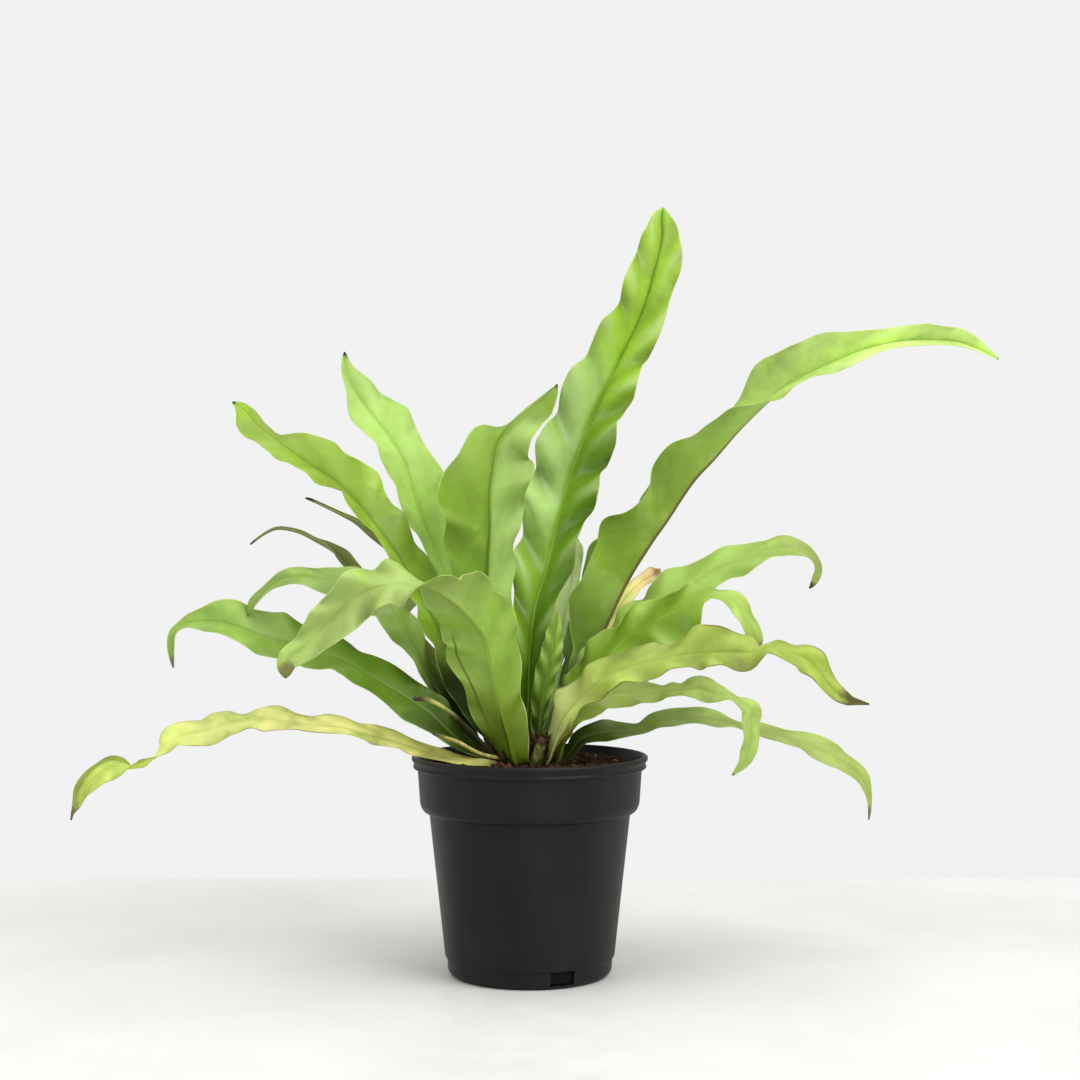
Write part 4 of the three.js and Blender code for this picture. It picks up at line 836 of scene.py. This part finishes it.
# ---- stalks ----
def tube(points, radii, sides):
    """Rings round a line of points, closed at both ends: (points, faces, run, share)."""
    points = np.asarray(points, float)
    tangents = np.gradient(points, axis=0)
    tangents /= np.linalg.norm(tangents, axis=1)[:, None]
    no_tangent = np.array((0.31, 0.22, 0.92))
    first = np.cross(tangents, no_tangent)
    first /= np.linalg.norm(first, axis=1)[:, None]
    second = np.cross(tangents, first)
    angles = np.arange(sides) * FULL_TURN / sides
    ring = (first[:, None] * np.cos(angles)[None, :, None]
            + second[:, None] * np.sin(angles)[None, :, None])
    shell = points[:, None] + ring * np.asarray(radii)[:, None, None]
    count = len(points)
    faces = []
    for start in range(0, (count - 1) * sides, sides):
        for j in range(sides):
            m = (j + 1) % sides
            faces.append((start + j, start + m, start + sides + m, start + sides + j))
    faces.append(tuple(range(sides))[::-1])
    faces.append(tuple((count - 1) * sides + j for j in range(sides)))
    run = np.concatenate([[0], np.cumsum(np.linalg.norm(np.diff(points, axis=0), axis=1))])
    return shell.reshape(-1, 3), faces, np.repeat(run, sides), np.repeat(run / run[-1], sides)


# route: x, y, z and the radius there. colours: two for the fibres and one for the tip.
# dark_to: the share of its length up to which it is darkened.
STALKS = {
    "dry_stalk_long": dict(
        route=[(-20, -14, 122, 1.6), (-33, -26, 137, 1.1), (-43, -34, 147, 1.0),
               (-53, -38, 153, 1.2), (-61, -40, 154, 1.0)],
        dark_to=0.8, colours=((150, 152, 70), (186, 186, 104), (50, 44, 28))),
    "dry_stalk_thin": dict(
        route=[(-17, -19, 120, 1.3), (-27, -31, 124, 1.1), (-38, -39, 131, 1.0),
               (-50, -46, 136, 0.6)],
        dark_to=0.3, colours=((150, 140, 70), (190, 180, 104), (96, 80, 40))),
    "old_stub_front": dict(
        route=[(3, -15, 117, 3), (5, -21, 124, 3.0), (7, -25, 131, 1.8)],
        dark_to=0.3, colours=((92, 98, 40), (150, 150, 84), (66, 46, 26))),
}
STALK_SIDES = 14
STALK_KNOBS = 0.12  # how much the radius varies, as a share of it
STALK_RAGGED = 0.35  # millimetres, how uneven its broken end is


def stalk(name, spec, material):
    rows = from_inside(spec["route"])
    line = row_at(rows, np.linspace(0, len(rows) - 1, 12 * len(rows)))
    radii = line[:, 3] * (1 + STALK_KNOBS * wander(np.linspace(0, 1, len(line)), len(name), 4))
    points, faces, run, share = tube(line[:, :3], radii, STALK_SIDES)
    draws = np.random.default_rng(len(name))
    points[-STALK_SIDES:] += draws.normal(0, STALK_RAGGED, (STALK_SIDES, 3))
    piece = new_object(name + "_twig", points, faces, material)
    add_vectors(piece, "leaf_run", vectors(run, 0.0, 0.0))
    add_vectors(piece, "leaf_age", vectors(share, 0.0, 0.0))
    return piece


# ---- pot ----
POT_SIDES = 180
POT_ROUNDING = 1.2
POT_SHARP = math.radians(40)
# the lip's outline: how far in from the rim and down from the top
LIP = ((1.1, 6.7), (0.7, 5.7), (1.4, 4.8), (0.9, 3.2), (0, 2.2), (0, 0.8), (0.8, 0), (2.6, 0))


def lathe(profile, sides):
    """A closed solid turned from (radius, height) pairs, from the axis and back to it."""
    points, rings = [], []
    for radius, height in profile:
        if radius == 0:
            rings.append([len(points)])
            points.append((0, 0, height))
        else:
            angles = np.arange(sides) * FULL_TURN / sides
            rings.append(list(range(len(points), len(points) + sides)))
            points.extend(zip(radius * np.cos(angles), radius * np.sin(angles),
                              [height] * sides))
    faces = []
    for low, high in zip(rings, rings[1:]):
        for j in range(sides):
            m = (j + 1) % sides
            if len(low) == 1:
                faces.append((low[0], high[m], high[j]))
            elif len(high) == 1:
                faces.append((low[j], low[m], high[0]))
            else:
                faces.append((low[j], low[m], high[m], high[j]))
    return points, faces


def rounded(profile, radius):
    """The profile with a small arc at each point between its ends."""
    result = [profile[0]]
    for before, corner, after in zip(profile, profile[1:], profile[2:]):
        p, q, r = (np.array(x, float) for x in (before, corner, after))
        to_p, to_r = p - q, r - q
        reach = min(radius, 0.45 * np.linalg.norm(to_p), 0.45 * np.linalg.norm(to_r))
        start = q + to_p / np.linalg.norm(to_p) * reach
        end = q + to_r / np.linalg.norm(to_r) * reach
        for w in (0, 0.25, 0.5, 0.75, 1):
            result.append(tuple((1 - w) ** 2 * start + 2 * w * (1 - w) * q + w * w * end))
    result.append(profile[-1])
    return result


def inside_profile(gap):
    """The pot's inside from the top down to the axis, or a face that keeps a gap to it."""
    inset = WALL + gap
    return [
        (COLLAR_TOP_RADIUS - inset, POT_HEIGHT - LIP_HEIGHT),
        (COLLAR_BOTTOM_RADIUS - inset, COLLAR_BOTTOM),
        (COLLAR_BOTTOM_RADIUS - 1 - inset, SHOULDER_BOTTOM + 4),
        (BODY_TOP_RADIUS - inset, SHOULDER_BOTTOM + 1.5),
        (BODY_BOTTOM_RADIUS - inset, FOOT_HEIGHT + 1.2),
        (FOOT_RADIUS - inset, FOOT_HEIGHT),
        (FOOT_RADIUS - inset, FLOOR + 1 + gap),
        (FOOT_RADIUS - 1 - inset, FLOOR + gap),
        (0, FLOOR + gap),
    ]


def outside_profile():
    """The pot's outside from the axis up to the inner edge of its lip."""
    return [
        (0, 0), (FOOT_RADIUS - FOOT_ROUNDING, 0), (FOOT_RADIUS, FOOT_ROUNDING),
        (FOOT_RADIUS + 0.4, FOOT_HEIGHT), (BODY_BOTTOM_RADIUS, FOOT_HEIGHT + 0.8),
        (BODY_TOP_RADIUS, SHOULDER_BOTTOM), (BODY_TOP_RADIUS + 2.4, SHOULDER_BOTTOM + 0.8),
        (COLLAR_BOTTOM_RADIUS - 1, SHOULDER_BOTTOM + 2.6), (COLLAR_BOTTOM_RADIUS, COLLAR_BOTTOM),
        (COLLAR_TOP_RADIUS, POT_HEIGHT - LIP_HEIGHT),
        *((RIM_RADIUS - inwards, POT_HEIGHT - down) for inwards, down in LIP)]


def drain_cutter(slot, material):
    depth, width, tall = DRAIN_SIZE
    box = np.array([(x * depth, y * width, z * tall) for x in (-0.5, 0.5)
                    for y in (-0.5, 0.5) for z in (-0.5, 0.5)])
    box += (FOOT_RADIUS, 0, FLOOR + tall / 2)
    turn = FIRST_DRAIN_ANGLE + slot * FULL_TURN / DRAIN_SLOTS
    spin = np.array(((math.cos(turn), math.sin(turn), 0),
                     (-math.sin(turn), math.cos(turn), 0), (0, 0, 1)))
    sides = [(0, 1, 3, 2), (4, 6, 7, 5), (0, 4, 5, 1), (2, 3, 7, 6), (0, 2, 6, 4), (1, 5, 7, 3)]
    return new_object(f"drain_cutter_{slot}", box @ spin, sides, material, False)


def make_pot(material):
    profile = [*outside_profile(), *inside_profile(0)]
    pot = new_object("pot_shell", *lathe(rounded(profile, POT_ROUNDING), POT_SIDES), material)
    cutters = [drain_cutter(slot, material) for slot in range(DRAIN_SLOTS)]
    for cutter in cutters:
        cut = pot.modifiers.new("drain", "BOOLEAN")
        cut.object, cut.operation, cut.solver = cutter, "DIFFERENCE", "EXACT"
    bpy.context.view_layer.update()
    cut_mesh = bpy.data.meshes.new_from_object(
        pot.evaluated_get(bpy.context.evaluated_depsgraph_get()))
    pot.modifiers.clear()
    pot.data = cut_mesh
    for cutter in cutters:
        bpy.data.objects.remove(cutter)
    cut_mesh.polygons.foreach_set("use_smooth", [True] * len(cut_mesh.polygons))
    cut_mesh.set_sharp_from_angle(angle=POT_SHARP)
    return pot


# ---- potting mix ----
MIX_SIDES = 220
MIX_RINGS = 64
MIX_RADIUS = COLLAR_TOP_RADIUS - WALL - MIX_GAP - 0.1
MIX_LEVEL_RADIUS = 24  # how far out its surface is level
MIX_SETTLED = 0.3  # how far its surface lies below the frame's
MIX_LUMPS = ((0.09, 3.1, 1.2), (0.3, 7.7, 0.9), (0.9, 1.3, 0.5))  # rate, seed, height
LITTER_RADIUS = 57.5
YELLOW_FOOT = (-26.0, -18.5)
YELLOW_FOOT_REACH = 8.5
# piece, material, how many, and the smallest and largest half size
CRUMBS = (("mix_crumbs", "mix_crumb", 950, 0.5, 1.7), ("mix_bark", "mix_bark", 130, 1.4, 2.8),
          ("mix_grit", "mix_grit", 26, 0.7, 1.5))
FIBRES = 210
FIBRE_REACH = 56  # how far out their starts lie
FIBRE_LENGTHS = (5, 15)
FIBRE_BEND = 0.9  # radians over the whole fibre, about
FIBRE_RADII = (0.32, 0.12)
FIBRE_SIDES = 5
FIBRE_STEPS = 8


def mix_level(x, y):
    """The height of the mix's surface."""
    drop = (SOIL_MIDDLE - SOIL_EDGE) * smoothstep(math.hypot(x, y), MIX_LEVEL_RADIUS, MIX_RADIUS)
    lumps = sum(noise.noise((x * rate, y * rate, seed)) * height
                for rate, seed, height in MIX_LUMPS)
    return float(SOIL_MIDDLE - MIX_SETTLED - drop) + lumps


def make_mix(material):
    points, faces = lathe([*reversed(inside_profile(MIX_GAP)[1:]),
                           (MIX_RADIUS, SOIL_EDGE - 1.5)], MIX_SIDES)
    last = len(points) - MIX_SIDES
    for k in range(MIX_RINGS - 1, -1, -1):
        radius = MIX_RADIUS * (k + 0.6) / MIX_RINGS
        for j in range(MIX_SIDES):
            angle = j * FULL_TURN / MIX_SIDES
            x, y = radius * math.cos(angle), radius * math.sin(angle)
            points.append((x, y, mix_level(x, y)))
        new = len(points) - MIX_SIDES
        for j in range(MIX_SIDES):
            m = (j + 1) % MIX_SIDES
            faces.append((last + j, last + m, new + m, new + j))
        last = new
    points.append((0, 0, mix_level(0, 0)))
    faces.extend((last + j, last + (j + 1) % MIX_SIDES, len(points) - 1)
                 for j in range(MIX_SIDES))
    return new_object("mix_body", points, faces, material)


def lump(centre, size, draws):
    """A small angular crumb: an uneven icosahedron."""
    t = (1 + 5 ** 0.5) / 2
    corners = np.array([(-1, t, 0), (1, t, 0), (-1, -t, 0), (1, -t, 0), (0, -1, t), (0, 1, t),
                        (0, -1, -t), (0, 1, -t), (t, 0, -1), (t, 0, 1), (-t, 0, -1), (-t, 0, 1)])
    faces = [(0, 11, 5), (0, 5, 1), (0, 1, 7), (0, 7, 10), (0, 10, 11), (1, 5, 9), (5, 11, 4),
             (11, 10, 2), (10, 7, 6), (7, 1, 8), (3, 9, 4), (3, 4, 2), (3, 2, 6), (3, 6, 8),
             (3, 8, 9), (4, 9, 5), (2, 4, 11), (6, 2, 10), (8, 6, 7), (9, 8, 1)]
    flattened = (1, 1, 0.75)
    corners = corners / np.linalg.norm(corners[0])
    corners = corners * draws.uniform(0.7, 1.25, (12, 1)) * draws.uniform(0.7, 1.3, (1, 3))
    corners *= flattened
    turn = Matrix.Rotation(draws.uniform(0, 6.28), 3, Vector(draws.normal(size=3)).normalized())
    return corners @ np.array(turn) * size + centre, faces


def gather(parts):
    """Several (points, faces) as one."""
    points, faces, start = [], [], 0
    for p, f in parts:
        points.append(np.asarray(p, float))
        faces.extend(tuple(i + start for i in face) for face in f)
        start += len(p)
    return np.vstack(points), faces


def from_crown(x, y):
    """A place seen from the crown's axis, in shares of the crown's half width and depth."""
    return (x - CROWN[0]) / CROWN_RADIUS, (y - CROWN[1]) / (CROWN_RADIUS * CROWN_DEPTH_RATIO)


def scatter(draws, count, reach):
    """Places on the mix within a radius, clear of the crown and the yellow frond's foot."""
    found = []
    while len(found) < count:
        r = math.sqrt(draws.uniform(0, reach ** 2))
        angle = draws.uniform(0, FULL_TURN)
        x, y = r * math.cos(angle), r * math.sin(angle)
        on_crown = math.hypot(*from_crown(x, y)) < 0.95
        under_frond = math.dist((x, y), YELLOW_FOOT) < YELLOW_FOOT_REACH
        if not on_crown and not under_frond:
            found.append((x, y, mix_level(x, y)))
    return found


def make_crumbs(name, material, count, small, large, draws):
    parts = []
    for x, y, z in scatter(draws, count, LITTER_RADIUS):
        size = small + (large - small) * draws.random() ** 2.2
        parts.append(lump((x, y, z + 0.25 * size), size, draws))
    return new_object(name, *gather(parts), material, False)


def fibre(start, draws):
    """The line of one fibre, up to the pot's wall at most."""
    heading = draws.uniform(0, FULL_TURN)
    step = draws.uniform(*FIBRE_LENGTHS) / FIBRE_STEPS
    bend = draws.normal(0, FIBRE_BEND) / FIBRE_STEPS
    x, y, z = start
    line = []
    for k in range(FIBRE_STEPS + 1):
        line.append((x, y, max(z + 0.2, mix_level(x, y) + 0.1)
                     + 0.7 * math.sin(k * 0.7 + start[0])))
        heading += bend
        x += math.cos(heading) * step
        y += math.sin(heading) * step
        if math.hypot(x, y) > LITTER_RADIUS:
            break
    return line


def make_fibres(material, draws):
    parts = []
    for start in scatter(draws, FIBRES, FIBRE_REACH):
        line = fibre(start, draws)
        if len(line) > 3:
            parts.append(tube(line, np.linspace(*FIBRE_RADII, len(line)), FIBRE_SIDES)[:2])
    return new_object("mix_fibres", *gather(parts), material)


# ---- crown ----
CROWN_SIDES = 72
ROOT_DROP = 52
ROOT_RADIUS = 1.5
ROOT_KNOBS = 0.3  # how much that varies
ROOT_STEPS = 20
ROOT_SIDES = 10
SCALE_COUNT = 330
SCALE_ROWS = 6
SCALE_THICKNESS = 0.25
SCALE_TIP = 0.05  # the half width there
# how many scales, their feet's x and y, and how far they tilt to the right
SCALE_TUFTS = ((14, (-1, 9), (-14, -9), 0.0), (16, (-24, -15), (-9, 2), -0.35))
TUFT_HEIGHT = 121


def dome_height(x, y):
    """The top of the crown over a place, or None outside it."""
    right, back = from_crown(x, y)
    q = 1 - right ** 2 - back ** 2
    return CROWN[2] + CROWN_HEIGHT * math.sqrt(q) if q > 0 else None


def root(index):
    """One of the roots in the mix: (points, faces)."""
    angle = (index + 0.5) * FULL_TURN / ROOT_COUNT
    drop = ROOT_DROP * (0.8 + 0.4 * (index % 2))
    way = np.array((math.cos(angle), math.sin(angle), 0))
    knots = [CROWN + way * reach - (0, 0, down) for reach, down in
             ((3, 9), (16.5, 15), (27, drop * 0.55), (24, drop))]
    line = row_at(knots, np.linspace(0, 3, ROOT_STEPS))
    radii = ROOT_RADIUS + ROOT_KNOBS * wander(np.linspace(0, 1, ROOT_STEPS), index, 3)
    return tube(line, radii, ROOT_SIDES)[:2]


def make_crown(material):
    profile = [(0, -CROWN_DEPTH), (CROWN_RADIUS / 2, -CROWN_DEPTH / 2)]
    profile += [(CROWN_RADIUS * math.cos(a), CROWN_HEIGHT * math.sin(a))
                for a in np.linspace(0, math.pi / 2, 22)[:-1]]
    points, faces = lathe([*profile, (0, CROWN_HEIGHT)], CROWN_SIDES)
    points = np.array(points, float) * (1, CROWN_DEPTH_RATIO, 1)
    for p in points:
        p *= 1 + 0.05 * noise.noise(Vector(p * 0.35)) - 0.02
    parts = [(points + CROWN, faces), *(root(index) for index in range(ROOT_COUNT))]
    return new_object("crown_body", *gather(parts), material)


def scale_leaf(base, out, lift, length, width):
    """A small pointed scale that lies on the crown and lifts at its end."""
    out = out / np.linalg.norm(out)
    side = np.cross(lift, out)
    side /= np.linalg.norm(side)
    upper = []
    for k in range(SCALE_ROWS):
        t = k / (SCALE_ROWS - 1)
        centre = base + out * length * t + lift * length * (0.12 + 0.35 * t * t)
        half = width * math.sin(math.pi * min(1, 0.25 + 0.8 * t)) ** 0.7
        if k == SCALE_ROWS - 1:
            half = SCALE_TIP
        for s in (-1, 0, 1):
            upper.append(centre + side * half * s + lift * (SCALE_THICKNESS if s == 0 else 0))
    lower = len(upper)
    tip = lower - 3
    faces = []
    for s in (0, 1):
        faces.append((s + 1, lower + s + 1, lower + s, s))
        faces.append((lower + tip + s, lower + tip + s + 1, tip + s + 1, tip + s))
    for row in range(0, tip, 3):
        for a in (row, row + 1):
            faces.append((a + 3, a + 4, a + 1, a))
            faces.append((lower + a, lower + a + 1, lower + a + 4, lower + a + 3))
        faces.append((lower + row, lower + row + 3, row + 3, row))
        faces.append((row + 5, lower + row + 5, lower + row + 2, row + 2))
    upper = np.array(upper)
    return np.vstack([upper, upper - lift * SCALE_THICKNESS]), faces


def dome_scale(draws):
    """A scale at a random place of the crown, or None where that lies outside it."""
    x = CROWN[0] + draws.uniform(-1, 1) * CROWN_RADIUS
    y = CROWN[1] + draws.uniform(-1, 1) * CROWN_RADIUS * CROWN_DEPTH_RATIO
    z = dome_height(x, y)
    if z is None:
        return None
    normal = np.array(((x - CROWN[0]) / CROWN_RADIUS ** 2,
                       (y - CROWN[1]) / (CROWN_RADIUS * CROWN_DEPTH_RATIO) ** 2,
                       (z - CROWN[2]) / CROWN_HEIGHT ** 2))
    normal /= np.linalg.norm(normal)
    rise = np.array((0, 0, 1.0)) - normal * normal[2] + draws.normal(0, 0.25, 3)
    rise -= normal * (normal @ rise)
    return scale_leaf(np.array((x, y, z - 0.3)), rise + 0.25 * draws.normal(size=3), normal,
                      draws.uniform(4, 8), draws.uniform(0.8, 1.5))


def tuft_scale(draws, x_span, y_span, tilt):
    """One of the longer scales at the front and the left, between the fronds' feet."""
    base = np.array((draws.uniform(*x_span), draws.uniform(*y_span),
                     TUFT_HEIGHT + draws.uniform(0, 3)))
    out = np.array((draws.normal(tilt, 0.25), draws.normal(-0.1, 0.2), 1.0))
    return scale_leaf(base, out, np.array((0.1, -1.0, 0.1)), draws.uniform(9, 15),
                      draws.uniform(0.9, 1.6))


def make_scales(material):
    draws = np.random.default_rng(8)
    parts = []
    while len(parts) < SCALE_COUNT:
        scale = dome_scale(draws)
        if scale:
            parts.append(scale)
    for count, *where in SCALE_TUFTS:
        parts += [tuft_scale(draws, *where) for _ in range(count)]
    return new_object("crown_scales", *gather(parts), material)


# ---- the object ----
earths = {name: earth_material(name) for name in EARTHS}
leaves = {kind: Leaf(kind).complete() for kind in LOOKS}
place(make_pot(plastic_material()), "pot_plastic", "pot")
place(make_mix(earths["mix_earth"]), "potting_mix", "potting_mix")
litter = np.random.default_rng(5)
for name, earth, *sizes in CRUMBS:
    place(make_crumbs(name, earths[earth], *sizes, litter), "potting_mix")
place(make_fibres(earths["mix_fibre"], litter), "potting_mix")
place(make_crown(earths["crown_bark"]), "rhizome", "rhizome")
place(make_scales(earths["crown_scale"]), "rhizome")
for index, (node, spec) in enumerate(FRONDS.items()):
    kind = spec["look"]
    blade = frond(node.replace("frond_", "blade_"), spec, index, leaves[kind])
    place(blade, SLOT_OF.get(kind, "frond_green"), node)
for node, spec in STALKS.items():
    twig = stalk_material("twig_" + node, *spec["colours"], spec["dark_to"])
    place(stalk(node, spec, twig), "dry_stalk", node)

# ---- floor, light and camera ----
FLOOR_SIDE, FLOOR_FRONT, FLOOR_BACK = 1600, -1300, 300  # the floor's edges, from the pot's axis
ground = Graph("floor_paint")
paint = ground.mix(ground.map(ground.noise(6, 4), 0.3, 0.7), shown((203, 201, 198)),
                   shown((210, 208, 205)))
floor_material = ground.finish(paint, ground.map(ground.noise(40, 3), 0.3, 0.7, 0.5, 0.65),
                               ground.bump(ground.noise(300, 3), 0.0004, 0.3), 0.4)
floor = new_object("studio_floor", [(-FLOOR_SIDE, FLOOR_FRONT, 0), (FLOOR_SIDE, FLOOR_FRONT, 0),
                                    (FLOOR_SIDE, FLOOR_BACK, 0), (-FLOOR_SIDE, FLOOR_BACK, 0)],
                   [(0, 1, 2, 3)], floor_material)

scene = bpy.context.scene
scene.view_settings.view_transform = "Standard"
BACKDROP_SEEN = 0.885  # how bright the backdrop looks
BACKDROP_LIGHT = 0.7  # how much light it gives
world = bpy.data.worlds.new("studio")
world.use_nodes = True
sky = world.node_tree.nodes["Background"]
sky.inputs["Color"].default_value = (1, 1, 1, 1)
ray = world.node_tree.nodes.new("ShaderNodeLightPath")
strength = world.node_tree.nodes.new("ShaderNodeMapRange")
strength.inputs["To Min"].default_value = BACKDROP_LIGHT
strength.inputs["To Max"].default_value = BACKDROP_SEEN
world.node_tree.links.new(ray.outputs["Is Camera Ray"], strength.inputs["Value"])
world.node_tree.links.new(strength.outputs[0], sky.inputs["Strength"])
scene.world = world

# name, place and what it shines at in metres, side in metres, watts
LAMPS = (("key", (1.75, -1.45, 2.1), (0, 0, 0.25), 2.1, 69),
         ("fill", (-1.4, -0.9, 0.9), (0, 0, 0.2), 1.0, 9),
         ("top", (-0.1, 0.0, 1.9), (0, 0, 0.2), 1.5, 18))
for name, at, target, size, watts in LAMPS:
    light = bpy.data.lights.new(name, "AREA")
    light.size = size
    light.energy = watts
    lamp = bpy.data.objects.new(name, light)
    lamp.location = at
    lamp.rotation_euler = (Vector(target) - Vector(at)).to_track_quat("-Z", "Y").to_euler()
    scene.collection.objects.link(lamp)

EYE = (0.0056, -1.036, 0.2328)  # metres
FOCAL_PX = 1880.0
FRAME_PX = 1080.0
HORIZON_BELOW_MIDDLE_PX = 10.0
SENSOR_MM = 36
lens = bpy.data.cameras.new("view")
lens.sensor_width = SENSOR_MM
lens.lens = SENSOR_MM * FOCAL_PX / FRAME_PX
lens.shift_y = HORIZON_BELOW_MIDDLE_PX / FRAME_PX
camera = bpy.data.objects.new("view", lens)
camera.location = EYE
camera.rotation_euler = (math.pi / 2, 0, 0)
scene.collection.objects.link(camera)
scene.camera = camera
